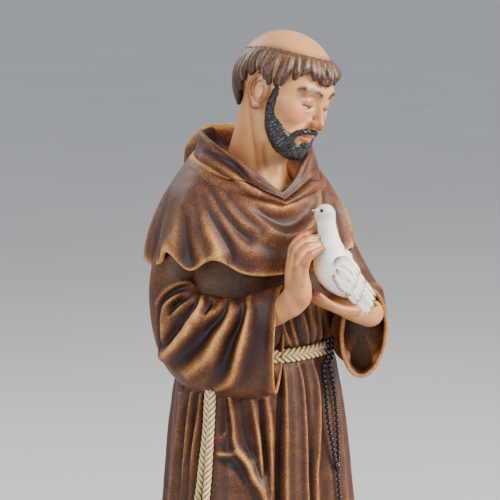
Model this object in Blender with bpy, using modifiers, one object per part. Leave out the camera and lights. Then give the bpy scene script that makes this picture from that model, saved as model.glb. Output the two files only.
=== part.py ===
"""Saint Francis in a friar's habit, a cast resin statue on a low base, with black beads at its belt.

The statue faces -Y and stands on the plane Z = 0 with its base centred on the Z axis. Sizes are in metres.
"""

import math

import bmesh
import bpy
import numpy as np
from mathutils import Euler, Matrix, Vector

# Driving sizes, in metres.
FIGURE_HEIGHT = 0.446
BASE_HEIGHT = 0.014
BASE_RADIUS = 0.072
BASE_CORNER = 0.0025
SLEEVE_WALL = 0.0024
ROPE_DIAMETER = 0.0046
KNOT_DIAMETER = 0.0086
BEAD_DIAMETER = 0.0028
BEAD_SPACING = 0.0036
THREAD_DIAMETER = 0.0011
BEAD_CLEARANCE = 0.0006
CROSS_LENGTH = 0.017
CROSS_BAR = 0.0022

# The carving is in carve units, of which the figure is 446 tall, and Z counts from the top of the base.
CARVE_UNIT = FIGURE_HEIGHT / 446
ROPE = ROPE_DIAMETER / CARVE_UNIT
HEAD_CENTRE = (8.8, -16.3, 412.5)
HEAD_TURN = 26
HEAD_NOD = 20
HEAD_LEAN = 10
BELT_LEVEL = 277.5
AROUND = 96


def metres(points):
    """Points in carve units as points in metres, on top of the base."""
    return np.asarray(points, float) * CARVE_UNIT + np.array([0, 0, BASE_HEIGHT])


def through(keys, at):
    """A smooth curve through rows of (position, value, ...), read at the given positions."""
    keys = np.array(keys, float)
    at = np.asarray(at, float)
    x, y = keys[:, 0], keys[:, 1:]
    slope = np.gradient(y, x, axis=0)
    left = np.clip(np.searchsorted(x, at) - 1, 0, len(x) - 2)
    span = (x[left + 1] - x[left])[..., None]
    t = np.clip((at - x[left])[..., None] / span, 0, 1)
    start = y[left] * (1 + 2 * t) * (1 - t) ** 2 + slope[left] * span * t * (1 - t) ** 2
    end = y[left + 1] * t**2 * (3 - 2 * t) + slope[left + 1] * span * t**2 * (t - 1)
    return np.moveaxis(start + end, -1, 0)


def carve(angles, heights, radius, folds):
    """How far the folds stand out. A fold is a path of (angle, height, rise, width) on a round form."""
    relief = np.zeros(np.broadcast(angles, heights).shape)
    for fold in folds:
        steps = np.linspace(0, len(fold) - 1, 6 * (len(fold) - 1) + 1)
        path = through([(i, *row) for i, row in enumerate(fold)], steps)
        nearest = np.full(relief.shape, np.inf)
        best = np.zeros(relief.shape)
        for a, b in zip(path.T, path.T[1:]):
            across = np.radians((angles - a[0] + 180) % 360 - 180) * radius
            run = np.radians(b[0] - a[0]) * radius
            rise = b[1] - a[1]
            up = heights - a[1]
            t = np.clip((across * run + up * rise) / (run**2 + rise**2), 0, 1)
            lift = a[2] + t * (b[2] - a[2])
            width = a[3] + t * (b[3] - a[3])
            away = np.hypot(across - t * run, up - t * rise) / width
            closer = away < nearest
            nearest = np.where(closer, away, nearest)
            best = np.where(closer, lift, best)
        relief += best * (1 - np.clip(nearest, 0, 1) ** 2) ** 2
    return relief


# Objects, materials and joining


def start_scene():
    for obj in list(bpy.data.objects):
        bpy.data.objects.remove(obj, do_unlink=True)


def collection(name):
    made = bpy.data.collections.new(name)
    bpy.context.scene.collection.children.link(made)
    return made


def material(name, colour, roughness, metallic=0.0):
    made = bpy.data.materials.new(name)
    made.use_nodes = True
    shader = made.node_tree.nodes["Principled BSDF"]
    shader.inputs["Base Color"].default_value = (*colour, 1)
    shader.inputs["Roughness"].default_value = roughness
    shader.inputs["Metallic"].default_value = metallic
    made.diffuse_color = (*colour, 1)
    return made


def object_from(name, mesh):
    obj = bpy.data.objects.new(name, mesh)
    bpy.context.scene.collection.objects.link(obj)
    return obj


def skin(name, rings, open_ends=False):
    """A loft through rings of points in carve units, its ends closed by fans, or joined where open_ends."""
    count, around = rings.shape[:2]
    mesh = bmesh.new()
    rows = [[mesh.verts.new(p) for p in ring] for ring in metres(rings)]
    bands = zip(rows, rows[1:] + rows[:1] if open_ends else rows[1:])
    for low, high in bands:
        for i in range(around):
            j = (i + 1) % around
            mesh.faces.new((low[i], low[j], high[j], high[i]))
    if not open_ends:
        for row in (rows[0], rows[-1]):
            middle = mesh.verts.new(sum((v.co for v in row), Vector()) / around)
            for i in range(around):
                mesh.faces.new((row[i], row[(i + 1) % around], middle))
    bmesh.ops.recalc_face_normals(mesh, faces=mesh.faces)
    data = bpy.data.meshes.new(name)
    mesh.to_mesh(data)
    mesh.free()
    return object_from(name, data)


def ball(name, centre, radii, turn=(0, 0, 0), frame=None, segments=20):
    """An ellipsoid with centre and radii in carve units, turned in degrees, in a frame or the figure's."""
    place = Matrix.Translation(Vector(centre)) @ Euler([math.radians(a) for a in turn]).to_matrix().to_4x4()
    place = (frame or Matrix.Identity(4)) @ place @ Matrix.Diagonal((*radii, 1))
    place = Matrix.Translation((0, 0, BASE_HEIGHT)) @ Matrix.Scale(CARVE_UNIT, 4) @ place
    mesh = bmesh.new()
    bmesh.ops.create_uvsphere(mesh, u_segments=segments, v_segments=segments // 2, radius=1, matrix=place)
    data = bpy.data.meshes.new(name)
    mesh.to_mesh(data)
    mesh.free()
    return object_from(name, data)


def limb(name, path, frame=None, sides=12, flat=1.0, up=(0, 0, 1)):
    """A round-ended limb through rows of (x, y, z, radius), in carve units, flattened along up by flat."""
    path = np.array(path, float)
    steps = np.linspace(0, len(path) - 1, 4 * (len(path) - 1) + 1)
    x, y, z, radius = through([(i, *row) for i, row in enumerate(path)], steps)
    centres = np.stack([x, y, z], 1)
    along = np.gradient(centres, axis=0)
    along /= np.linalg.norm(along, axis=1)[:, None]
    cap = np.radians([75, 50, 25])
    first, last = [], []
    for c in cap:
        first.append((centres[0] - along[0] * radius[0] * math.sin(c), along[0], radius[0] * math.cos(c)))
        last.append((centres[-1] + along[-1] * radius[-1] * math.sin(c), along[-1], radius[-1] * math.cos(c)))
    stations = [*first, *zip(centres, along, radius), *reversed(last)]
    turns = np.linspace(0, 2 * math.pi, sides, endpoint=False)
    rings = []
    for centre, direction, r in stations:
        side = np.cross(direction, up)
        side /= np.linalg.norm(side)
        rise = np.cross(side, direction)
        rings.append(centre + r * (np.outer(np.cos(turns), side) + flat * np.outer(np.sin(turns), rise)))
    rings = np.array(rings)
    if frame is not None:
        spin = np.array(frame.to_3x3())
        rings = rings @ spin.T + np.array(frame.translation)
    return skin(name, rings)


def finished(obj):
    """Applies the object's modifiers."""
    bpy.context.view_layer.update()
    graph = bpy.context.evaluated_depsgraph_get()
    mesh = bpy.data.meshes.new_from_object(obj.evaluated_get(graph))
    obj.modifiers.clear()
    obj.data = mesh
    return obj


def thinned(obj, triangles):
    """Thins a closed mesh to about so many triangles."""
    thin = obj.modifiers.new("Thin", "DECIMATE")
    thin.ratio = min(1.0, triangles / sum(len(p.vertices) - 2 for p in obj.data.polygons))
    return finished(obj)


def melded(name, pieces, voxel, triangles):
    """Overlapping soft forms as one skin: remeshed, smoothed, and thinned to about so many triangles."""
    mesh = bmesh.new()
    for piece in pieces:
        mesh.from_mesh(piece.data)
        bpy.data.objects.remove(piece, do_unlink=True)
    data = bpy.data.meshes.new(name)
    mesh.to_mesh(data)
    mesh.free()
    obj = object_from(name, data)
    remesh = obj.modifiers.new("Meld", "REMESH")
    remesh.mode = "VOXEL"
    remesh.voxel_size = voxel * CARVE_UNIT
    relax = obj.modifiers.new("Relax", "SMOOTH")
    relax.iterations = 4
    return thinned(finished(obj), triangles)


def combine(target, others, operation="UNION"):
    """Joins closed solids to the target, or cuts them from it, and removes them."""
    for other in others:
        boolean = target.modifiers.new(operation, "BOOLEAN")
        boolean.operation = operation
        boolean.object = other
        boolean.solver = "MANIFOLD"
        finished(target)
        bpy.data.objects.remove(other, do_unlink=True)
    return target


def fill_hollows(obj):
    """Removes the sealed hollows between joined forms: every closed skin of the mesh but the largest."""
    mesh = bmesh.new()
    mesh.from_mesh(obj.data)
    left = set(mesh.verts)
    skins = []
    while left:
        found, edge = set(), [left.pop()]
        while edge:
            vertex = edge.pop()
            found.add(vertex)
            near = {e.other_vert(vertex) for e in vertex.link_edges} & left
            left -= near
            edge.extend(near)
        skins.append(found)
    skins.sort(key=len)
    for inner in skins[:-1]:
        bmesh.ops.delete(mesh, geom=list(inner), context="VERTS")
    mesh.to_mesh(obj.data)
    mesh.free()


# The habit's tunic and skirt: rows of (height, half width, half depth, set back)

TUNIC = [
    (-2, 63.0, 55.0, -1.0),
    (12, 63.5, 55.0, -1.0),
    (60, 60.5, 51.5, -1.0),
    (130, 56.0, 46.5, -1.5),
    (200, 50.0, 41.0, -1.0),
    (250, 45.5, 36.5, 0.5),
    (272, 42.5, 33.5, 1.5),
    (279, 41.5, 32.5, 2.0),
    (285, 43.5, 34.5, 2.0),
    (293, 45.0, 36.0, 2.5),
    (310, 45.0, 35.5, 4.0),
    (335, 44.0, 33.0, 5.0),
    (358, 38.0, 28.0, 6.0),
    (372, 24.0, 22.0, 6.0),
]

# Folds are rows of (angle from the front towards his left, height, rise, width).
FRONT_FOLDS = [
    [(-15, 268, 0.5, 3), (-15, 245, 2.4, 4.5), (-14, 150, 2.8, 6), (-13, 0, 3.2, 8)],
    [(-3, 271, 1.0, 3), (-3, 245, 2.2, 4), (-2, 150, 2.4, 6), (0, 0, 2.8, 9)],
    [(5, 271, 1.2, 7), (6, 230, 2.0, 8), (8, 120, 2.0, 9), (10, 40, 1.0, 9)],
    [(13, 271, 1.0, 3), (14, 245, 2.2, 4), (15, 150, 2.6, 6), (17, 0, 3.2, 9)],
    [(22, 268, 0.6, 3), (23, 240, 2.0, 4), (26, 150, 2.4, 6), (30, 0, 3.0, 9)],
    [(34, 272, -2.0, 6), (35, 230, -3.0, 8), (37, 150, -2.5, 9), (40, 0, -1.0, 10)],
    [(52, 270, 0.5, 5), (54, 235, 2.2, 8), (55, 140, 3.0, 10), (56, 0, 3.5, 12)],
    [(-50, 262, -2.0, 5), (-45, 235, -2.5, 7), (-44, 224, -1.0, 5)],
    [(-28, 262, -1.5, 5), (-27, 235, -2.5, 6), (-22, 205, -2.5, 6), (-18, 120, -2.0, 7), (-17, 0, -1.5, 8)],
    [(-38, 262, 1.0, 3), (-36, 242, 3.2, 4), (-31, 226, 4.2, 5), (-20, 200, 4.4, 6), (-10, 165, 2.5, 7),
     (-6, 120, 0.5, 8)],
    [(-52, 222, 0.5, 3), (-42, 224, 2.2, 3.5), (-33, 226, 2.5, 4)],
    [(-40, 214, 3.0, 16), (-42, 180, 7.0, 26), (-43, 140, 8.0, 30), (-42, 90, 4.0, 30), (-40, 40, 0.0, 24)],
    [(-62, 266, -2.0, 5), (-62, 225, -3.4, 7), (-62, 150, -3.0, 8), (-60, 0, -2.0, 9)],
    [(-74, 262, 1.2, 4), (-73, 220, 2.6, 6), (-72, 120, 3.2, 8), (-70, 0, 3.6, 10)],
    [(-86, 262, 1.0, 4), (-85, 220, 2.4, 6), (-85, 120, 3.0, 8), (-84, 0, 3.6, 10)],
    [(-98, 262, 1.0, 5), (-98, 200, 2.6, 7), (-99, 100, 3.2, 9), (-100, 0, 3.6, 11)],
]
BLOUSE_FOLDS = [
    [(-4, 284, 1.4, 3.5), (-3, 293, 2.2, 4), (-1, 306, 1.0, 4), (0, 318, 0, 3)],
    [(7, 284, 1.6, 4), (7, 294, 2.4, 4.5), (7, 308, 1.2, 4), (6, 318, 0, 3)],
    [(19, 284, 1.6, 4), (19, 296, 2.6, 5), (17, 310, 1.4, 4), (14, 322, 0, 3)],
    [(31, 284, 1.4, 4), (31, 296, 2.2, 5), (28, 312, 1.0, 4), (24, 322, 0, 3)],
]
BACK_FOLD_FIRST, BACK_FOLD_LAST, BACK_FOLD_COUNT = 72, 246, 9


def back_folds():
    """Plain skirt folds round the back, of slightly unlike width and depth."""
    angles = np.linspace(BACK_FOLD_FIRST, BACK_FOLD_LAST, BACK_FOLD_COUNT)
    folds = []
    for i, angle in enumerate(angles):
        wave = math.sin(2.4 * i)
        low = angle + 3 * wave
        folds.append([
            (angle, 268, 0.8, 4),
            (angle + wave, 220, 2.4 + 0.5 * wave, 6),
            (low, 110, 3.2 + 0.6 * wave, 8 + wave),
            (low, 0, 3.8 + 0.6 * wave, 10 + wave),
        ])
    return folds


def on_tunic(angles, heights, out=0.0):
    """Points on the tunic at these angles and heights, or out from it by so many carve units."""
    angles, heights = np.broadcast_arrays(np.asarray(angles, float), np.asarray(heights, float))
    wide, deep, back = through(TUNIC, heights)
    turn = np.radians(angles)
    radius = np.hypot(wide * np.sin(turn), deep * np.cos(turn))
    relief = carve(angles, heights, radius, [*FRONT_FOLDS, *BLOUSE_FOLDS, *back_folds()])
    grow = 1 + (relief + out) / radius
    return np.stack([wide * np.sin(turn) * grow, back - deep * np.cos(turn) * grow, heights], -1)


def tunic():
    waist = [268, 273, 277, 281, 285, 290, 298, 308, 320, 336, 352, 364]
    levels = np.concatenate([np.linspace(-3, 262, 30), waist])
    angles = np.linspace(0, 360, AROUND, endpoint=False)
    return thinned(skin("tunic", on_tunic(angles[None, :], levels[:, None])), 1150)


# The shoulder cape: rows of (height, half width, half depth, set back)

CAPE = [
    (318, 55.0, 44.5, 3.0),
    (326, 54.5, 44.0, 3.5),
    (338, 52.0, 42.0, 4.0),
    (350, 48.0, 38.0, 5.0),
    (362, 42.5, 33.0, 6.0),
    (371, 36.0, 29.0, 6.5),
    (379, 29.5, 25.5, 6.0),
    (386, 23.0, 22.0, 5.0),
]
CAPE_LEFT_SHIFT = -2.0
CAPE_FOLDS = [
    [(-78, 366, 0, 5), (-76, 350, 2.4, 7), (-74, 336, 3.4, 8), (-73, 318, 4.2, 8)],
    [(-60, 356, 0, 5), (-58, 342, -2.2, 8), (-57, 318, -3.4, 9)],
    [(-56, 370, 0, 4), (-52, 356, 1.6, 5), (-46, 340, 3.0, 6), (-41, 318, 4.2, 7)],
    [(-44, 358, -0.8, 3), (-36, 343, -2.4, 5), (-30, 330, -3.0, 7), (-26, 318, -2.4, 8)],
    [(-48, 366, 0.6, 4), (-38, 354, 2.2, 5), (-28, 343, 2.8, 5), (-20, 334, 2.4, 6), (-12, 326, 1.0, 7)],
    [(-44, 371, 0.5, 4), (-30, 364, 1.8, 5), (-16, 352, 2.8, 6), (-2, 340, 3.2, 6), (10, 337, 3.2, 6),
     (22, 342, 2.8, 6), (38, 356, 2.0, 5), (50, 368, 0.6, 4)],
    [(-20, 356, -1.0, 5), (-8, 348, -2.6, 7), (4, 345, -3.0, 8), (16, 348, -2.4, 7), (26, 356, -1.0, 5)],
    [(-34, 370, 0.6, 4), (-18, 363, 1.8, 4.5), (-4, 357, 2.4, 5), (10, 356, 2.4, 5), (26, 362, 1.6, 4),
     (40, 370, 0.5, 4)],
    [(0, 330, 0.8, 8), (4, 318, 1.6, 9)],
    [(34, 346, 0, 5), (30, 334, -1.8, 7), (28, 318, -2.4, 8)],
    [(62, 368, 0, 5), (56, 352, 2.0, 6), (50, 336, 3.0, 8), (46, 318, 3.6, 8)],
    [(66, 356, 0, 5), (66, 340, -2.2, 7), (66, 318, -3.0, 8)],
    [(80, 366, 0, 5), (84, 346, 2.4, 7), (86, 318, 3.6, 9)],
    [(-98, 360, 0, 5), (-98, 340, -1.8, 8), (-99, 318, -2.6, 9)],
]
HEM = [(-180, 324), (-120, 324), (-96, 322), (-86, 325), (-73, 331), (-57, 322.5), (-42, 328.5), (-24, 321.5),
       (0, 320), (20, 321), (34, 325), (48, 329), (66, 326), (88, 331), (120, 326), (180, 324)]
HEM_THICKNESS = 4.0


def cape_back_folds():
    """Folds that fan out over the shoulder blades."""
    folds = []
    for side in (-1, 1):
        for angle, lean in ((118, 8), (140, 5), (162, 2)):
            folds.append([(side * (angle + lean) % 360, 364, 0, 5), (side * angle % 360, 344, 2.0, 7),
                          (side * angle % 360, 318, 3.4, 9)])
    return folds


def on_cape(angles, heights):
    """Points on the cape at these angles and heights."""
    wide, deep, back = through(CAPE, heights)
    turn = np.radians(angles)
    square = (np.abs(np.sin(turn)) ** 2.3 + np.abs(np.cos(turn)) ** 2.3) ** (-1 / 2.3)
    radius = np.hypot(wide * np.sin(turn), deep * np.cos(turn))
    grow = square + carve(angles, heights, radius, [*CAPE_FOLDS, *cape_back_folds()]) / radius
    x = CAPE_LEFT_SHIFT + wide * np.sin(turn) * grow
    return np.stack([x, back - deep * np.cos(turn) * grow, np.broadcast_to(heights, x.shape)], -1)


def cape():
    angles = np.linspace(-180, 180, AROUND, endpoint=False)
    hem = through(HEM, angles)[0]
    shares = np.linspace(0, 1, 20) ** 0.9
    heights = 386 + (hem[None, :] - 386) * (1 - shares[:, None])
    outer = on_cape(angles[None, :], heights)
    middle = np.array([CAPE_LEFT_SHIFT, CAPE[0][3], 0])
    inner = outer[0] * [1, 1, 1]
    inner[:, :2] += (middle[:2] - inner[:, :2]) * (HEM_THICKNESS / 50)
    deep_inside = inner * [0.8, 0.8, 1] + [0, 0, 5]
    return thinned(skin("cape", np.concatenate([[deep_inside, inner], outer])), 660)


# Sleeves: stations from shoulder to cuff, rows of (inner x, y, z, outer x, y, z, half width)

RIGHT_SLEEVE = [
    (-32, -6, 352, -36, 19, 355, 11),
    (-36, -9, 338, -40, 20, 336, 13.5),
    (-40, -10, 324, -45, 20, 308, 15.5),
    (-40, -11, 315, -46, 17, 284, 15.5),
    (-38, -14, 311, -44, 8, 266, 15.5),
    (-35, -19, 310, -39, -6, 258, 15),
    (-27, -27, 309, -29, -19, 256, 14),
    (-18, -35, 313, -19, -30, 257, 13.5),
    (-9, -42, 317, -10, -39, 260, 13),
]
LEFT_SLEEVE = [
    (29, -8, 352, 33, 15, 355, 10),
    (35, -14, 340, 38, 13, 336, 12.5),
    (40, -19, 328, 45, 10, 311, 14),
    (44, -23, 319, 51, 4, 290, 15),
    (46, -28, 315, 53, -9, 272, 14.5),
    (44, -36, 313, 48, -25, 266, 13.5),
    (41, -45, 313, 39, -42, 264, 12.5),
]
# Folds on a sleeve are rows of (turn from the crook round the outside, share to the cuff, rise, width).
RIGHT_SLEEVE_FOLDS = [
    [(55, 44, 3.0, 6), (85, 50, 5.1, 7.5), (120, 55, 4.5, 9), (150, 58, 1.5, 9)],
    [(30, 56, 2.2, 6), (60, 62, 4.8, 7.5), (95, 70, 4.8, 9), (130, 77, 3.8, 10.5), (165, 82, 0.8, 10.5)],
    [(10, 70, 1.5, 6), (40, 75, 4.2, 7.5), (80, 82, 4.5, 9), (120, 88, 3.9, 10.5), (160, 93, 1.2, 10.5)],
    [(15, 88, 1.5, 6), (50, 92, 3.6, 7.5), (90, 96, 3.6, 9), (140, 100, 3.0, 9)],
    [(20, 36, 1.2, 6), (50, 37, 3.3, 6), (85, 40, 3.3, 7.5), (110, 46, 0.8, 7.5)],
    [(60, 49, -2.2, 6), (90, 55, -3.9, 7.5), (125, 62, -2.2, 7.5)],
    [(50, 67, -1.8, 6), (85, 76, -3.3, 7.5), (120, 83, -1.8, 7.5)],
]
LEFT_SLEEVE_FOLDS = [
    [(200, 30, 0.7, 6), (225, 35, 3.1, 7.5), (260, 42, 3.9, 9), (290, 50, 1.4, 7.5)],
    [(200, 55, 1.1, 7.5), (230, 60, 3.4, 9), (265, 66, 3.6, 9), (300, 72, 1.1, 7.5)],
    [(200, 80, 1.1, 7.5), (235, 84, 3.4, 9), (270, 88, 3.4, 9), (310, 92, 1.1, 7.5)],
]
SLEEVE_LENGTH = 125.0
CUFF_HOLLOW_FROM = 74


def on_sleeve(stations, turns, shares, folds=(), inset=0.0):
    """Points round a sleeve: turn 0 is the crook's side, 90 the outside, and share runs from 0 to 100 at the cuff."""
    keys = [(100 * i / (len(stations) - 1), *row) for i, row in enumerate(stations)]
    values = through(keys, shares)
    inner, outer, half = np.moveaxis(values[:3], 0, -1), np.moveaxis(values[3:6], 0, -1), values[6]
    centre = (inner + outer) / 2
    step = through(keys, np.minimum(shares + 1, 100)) - through(keys, np.maximum(shares - 1, 0))
    along = np.moveaxis(step[:3] + step[3:6], 0, -1)
    long_axis = (outer - inner) / 2
    across = np.cross(long_axis, along)
    across /= np.linalg.norm(across, axis=-1)[..., None]
    side = 1 if stations is RIGHT_SLEEVE else -1
    turn = np.radians(turns)[..., None]
    reach = np.linalg.norm(long_axis, axis=-1)
    relief = carve(turns, shares * SLEEVE_LENGTH / 100, (reach + half) / 2, [
        [(a, s * SLEEVE_LENGTH / 100, rise, width) for a, s, rise, width in fold] for fold in folds
    ]) - inset
    long_way = long_axis * (1 + relief / reach)[..., None]
    wide_way = across * (half + relief)[..., None] * side
    return centre - long_way * np.cos(turn) + wide_way * np.sin(turn)


def sleeve(name, stations, folds):
    turns, shares = np.meshgrid(np.linspace(0, 360, 32, endpoint=False), np.linspace(0, 100, 25))
    cloth = thinned(skin(name, on_sleeve(stations, turns, shares, folds)), 380)
    turns, shares = np.meshgrid(np.linspace(0, 360, 16, endpoint=False), np.linspace(CUFF_HOLLOW_FROM, 100, 5))
    hollow = on_sleeve(stations, turns, shares, folds, inset=SLEEVE_WALL / CARVE_UNIT)
    mouth = hollow[-1] + (hollow[-1] - hollow[-2]) * 0.5
    return combine(cloth, [skin("hollow", np.concatenate([hollow, [mouth]]))], "DIFFERENCE")


# The cowl: a standing collar with a rolled fold under it, open in a V at the throat

COWL = [
    (0, 30.5, 362.5),
    (14, 28.5, 367),
    (32, 27.5, 374),
    (60, 28.5, 380),
    (90, 28.5, 385),
    (130, 28.5, 389),
    (180, 28.0, 391.5),
]
COWL_CENTRE = (-0.5, 1.0)
COWL_BACK_LEAN = 3.0
# Rows of (out from the rim, down from the rim), once round the cloth's section.
COWL_SECTION = [(-9, 14), (-3.6, 8), (-1.6, 1.2), (-0.2, 0), (0.9, 1.4), (2.6, 5), (4.0, 9), (3.4, 11.5), (4.4, 12.6),
                (6.6, 15), (6.6, 18), (4, 21), (-9, 22)]


def cowl():
    angles = np.linspace(-180, 180, 48, endpoint=False)
    reach, rim = through(COWL, np.abs(angles))
    turn = np.radians(angles)
    right_lift = 4.0 * np.exp(-(((angles + 85) / 45) ** 2))
    rings = []
    for angle, r, top, lift in zip(turn, reach, rim, right_lift):
        out = np.array([math.sin(angle), -math.cos(angle)])
        foot = np.array([COWL_CENTRE[0], COWL_CENTRE[1]])
        rings.append([(*(foot + out * (r + w)), top + lift - down) for w, down in COWL_SECTION])
    return thinned(skin("cowl", np.array(rings), open_ends=True), 380)


def hood():
    """The hood, hanging in a point between the shoulder blades: rows of (height, half width, half depth, set back)."""
    rows = [(392, 18, 4, 27), (384, 25, 9, 32), (370, 26, 11, 37), (352, 23, 11, 42), (334, 16, 9, 46),
            (316, 9, 6, 50), (300, 3, 3, 52)]
    heights = np.linspace(392, 300, 11)[::-1]
    wide, deep, back = through(rows[::-1], heights)
    turn = np.linspace(0, 2 * math.pi, 20, endpoint=False)
    rings = [
        np.stack([w * np.sin(turn), b - d * np.cos(turn), np.full(20, h)], 1)
        for h, w, d, b in zip(heights, wide, deep, back)
    ]
    return thinned(skin("hood", np.array(rings)), 150)


# Head, hands and dove: soft forms melded into one skin each


def head_frame():
    """The head's own axes: it faces -Y of them, its middle at their origin."""
    turn = Matrix.Rotation(math.radians(HEAD_TURN), 4, "Z")
    nod = Matrix.Rotation(math.radians(HEAD_NOD), 4, "X")
    lean = Matrix.Rotation(math.radians(HEAD_LEAN), 4, "Y")
    return Matrix.Translation(HEAD_CENTRE) @ turn @ nod @ lean


HAIR_TOP = [(-180, 9), (-150, 10.5), (-125, 14), (-105, 17), (-90, 18.8), (-60, 20.8), (-30, 22.0), (0, 22.3),
            (30, 22.0), (60, 20.8), (90, 18.8), (125, 14), (150, 10.5), (180, 9)]
HAIR_LOW = [(-180, -15), (-140, -12), (-125, -6), (-104, 4.2), (-90, 5.5), (-77, 3.6), (-68, 4.5), (-60, 9),
            (-50, 13), (-40, 14.6), (-30, 14.0), (-16, 12), (0, 12), (14, 13.6), (30, 15), (48, 13), (64, 6),
            (77, 3.6), (90, 5.5), (104, 4.2), (125, -6), (140, -12), (180, -15)]
CROWN = (22.0, 26.0, 22.5)
LOCKS = 30


def on_crown(angle, height, out):
    """A point out from the skull, at this angle from the face towards his left and this height."""
    level = max(-0.95, min(0.95, (height - 7) / CROWN[2]))
    round_it = math.sqrt(1 - level**2) if height > 7 else 1 - 0.35 * level**2
    turn = math.radians(angle)
    spot = np.array([CROWN[0] * round_it * math.sin(turn), 4 - CROWN[1] * round_it * math.cos(turn), height])
    away = (spot - [0, 4, 7]) / np.square(CROWN)
    return spot + out * away / np.linalg.norm(away)


def head():
    frame = head_frame()
    forms = [
        ball("cranium", (0, 4, 7), CROWN, frame=frame),
        ball("face", (0, -8, -5), (17.2, 13.6, 22.5), (6, 0, 0), frame),
        ball("jaw", (0, -7.5, -16.5), (14.2, 12.6, 11.5), frame=frame),
        ball("beard", (0, -13.0, -21.5), (12.0, 9.5, 9.0), frame=frame),
        ball("moustache", (0, -16.5, -15.5), (8.8, 7.0, 5.5), frame=frame),
        limb("nose", [(0, -19.6, 4.5, 2.0), (0, -24.0, -4, 2.0), (0, -26.0, -8.2, 2.8)], frame),
        ball("brow", (0, -15.5, 5.4), (13.5, 6.5, 3.6), frame=frame),
    ]
    for side in (-1, 1):
        forms.append(ball("ear", (21.4 * side, 1.2, -3), (2.8, 5.6, 8.4), (6, 0, 14 * side), frame))
        forms.append(ball("cheek", (11 * side, -13.2, -6.2), (6.4, 6.6, 6.2), frame=frame))
        forms.append(limb("whiskers", [(18.4 * side, -5.8, 2, 1.8), (16.8 * side, -6, -9, 2.8),
                                       (13.4 * side, -8.6, -17, 4.0), (8.6 * side, -13, -23, 5.0)], frame))
    for i in range(LOCKS):
        angle = 360 * i / LOCKS - 180
        top, low = through(HAIR_TOP, angle)[0], through(HAIR_LOW, angle)[0]
        forms.append(limb("lock", [(*on_crown(angle, top - 1, -1.2), 2.0), (*on_crown(angle, (top + low) / 2, 0.1), 2.8),
                                   (*on_crown(angle, low + 2, -0.4), 2.4)], frame, sides=8))
    return melded("head", forms, 1.1, 880)


def neck():
    return limb("neck", [(0, 5, 358, 18.5), (0, 3, 372, 16.5), (1, -2, 388, 15), (3, -7, 404, 15)], sides=14)


def right_hand():
    """The raised right hand, its fingertips on the dove's breast. Fingers run from the index to the little one."""
    fingers = [
        [(-6.5, -52.5, 326, 3.0), (-4.8, -52, 337.5, 3.0), (0.9, -51.5, 343, 2.6), (8.0, -51.5, 345.5, 2.1)],
        [(-7.0, -56, 325, 3.1), (-5.7, -56, 336.5, 3.1), (-0.2, -56, 341.5, 2.7), (6.6, -55.5, 342, 2.2)],
        [(-7.0, -60, 324, 3.0), (-5.6, -60, 334.5, 3.0), (-1.4, -60, 338.8, 2.6), (5.2, -59, 339.6, 2.1)],
        [(-5.8, -63, 321, 2.8), (-4.6, -63.5, 331, 2.7), (-1.3, -63.4, 335.4, 2.4), (5.6, -61.5, 337.6, 1.9)],
    ]
    forms = [
        limb("forearm", [(-22, -31, 297, 6.2), (-12.5, -40.5, 301.5, 6.3), (-6.5, -51.5, 308.5, 6.2)]),
        limb("wrist", [(-7, -53.5, 310.5, 6.3), (-4, -56, 313, 6.2), (-4.5, -57, 319, 6.0)]),
        limb("palm", [(-4.8, -60, 315, 4.6), (-5.6, -61, 323, 4.4), (-5.8, -61, 328, 4.0)]),
        limb("palm_back", [(-4.8, -54, 315, 4.6), (-5.8, -54, 324, 4.6), (-6, -54, 331, 3.8)]),
        limb("thumb", [(-1, -49, 318, 3.4), (3.5, -47.5, 326, 3.0), (7, -48, 333, 2.4)]),
        *(limb("finger", finger, sides=10) for finger in fingers),
    ]
    return melded("right_hand", forms, 0.7, 360)


def left_hand():
    """The left hand, palm up under the dove. Fingers run from the little one, nearest the front, to the index."""
    forms = [
        limb("forearm", [(47, -30, 297, 7.0), (43.5, -42, 298, 6.8), (39.5, -50, 300, 6.4)]),
        limb("heel", [(40, -49.5, 300, 6.5), (34, -53.5, 301.8, 6.6), (27, -55.5, 304, 5.8)]),
        limb("palm", [(36, -48, 302, 5.4), (28, -49, 304, 5.6), (21, -49.5, 306.5, 5.0)]),
        limb("thumb", [(31, -44, 306, 3.4), (24, -42.5, 311, 3.0), (17, -43.5, 316, 2.5)]),
    ]
    for i in range(4):
        y = -60.5 + 4.4 * i
        forms.append(limb("finger", [(26, y, 304.2, 3.2), (18, y - 0.4, 305.6, 3.0), (10.5, y - 0.6, 309.0, 2.7),
                                     (4.8, y - 0.4, 314.0, 2.2)], sides=10))
    return melded("left_hand", forms, 0.7, 320)


def dove():
    forms = [
        limb("body", [(32, -55, 313.5, 4.5), (26.5, -55, 316.5, 7.0), (20.5, -56, 320.5, 8.8), (15.4, -56.5, 326, 9.8),
                      (13.2, -56.3, 333, 8.2), (12.8, -55.8, 340, 5.6), (11.8, -55.2, 347.5, 4.7),
                      (11.0, -55, 353.5, 4.8)], sides=16),
        limb("beak", [(7.5, -55.3, 355.8, 2.0), (4.6, -55.8, 357, 1.2), (2.8, -56, 357.3, 0.6)], sides=8),
        limb("tail", [(27, -54.5, 316, 4), (33, -53.5, 312, 5.5), (39.5, -52.5, 307.6, 5.0)], flat=0.32,
             up=(0.5, 0, 0.85)),
    ]
    for side in (-1, 1):
        y = -56 + 8.0 * side
        forms.append(limb("wing", [(15.5, y, 330, 5.0), (21, y + 0.8 * side, 325, 7.0), (28, y - 1.0 * side, 318.5, 6.5),
                                   (37, y - 4.5 * side, 310, 2.6)], flat=0.4, up=(0.15, side, 0.1)))
    return melded("dove", forms, 0.8, 400)


# Rope belt, rope ends, feet and base


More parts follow.
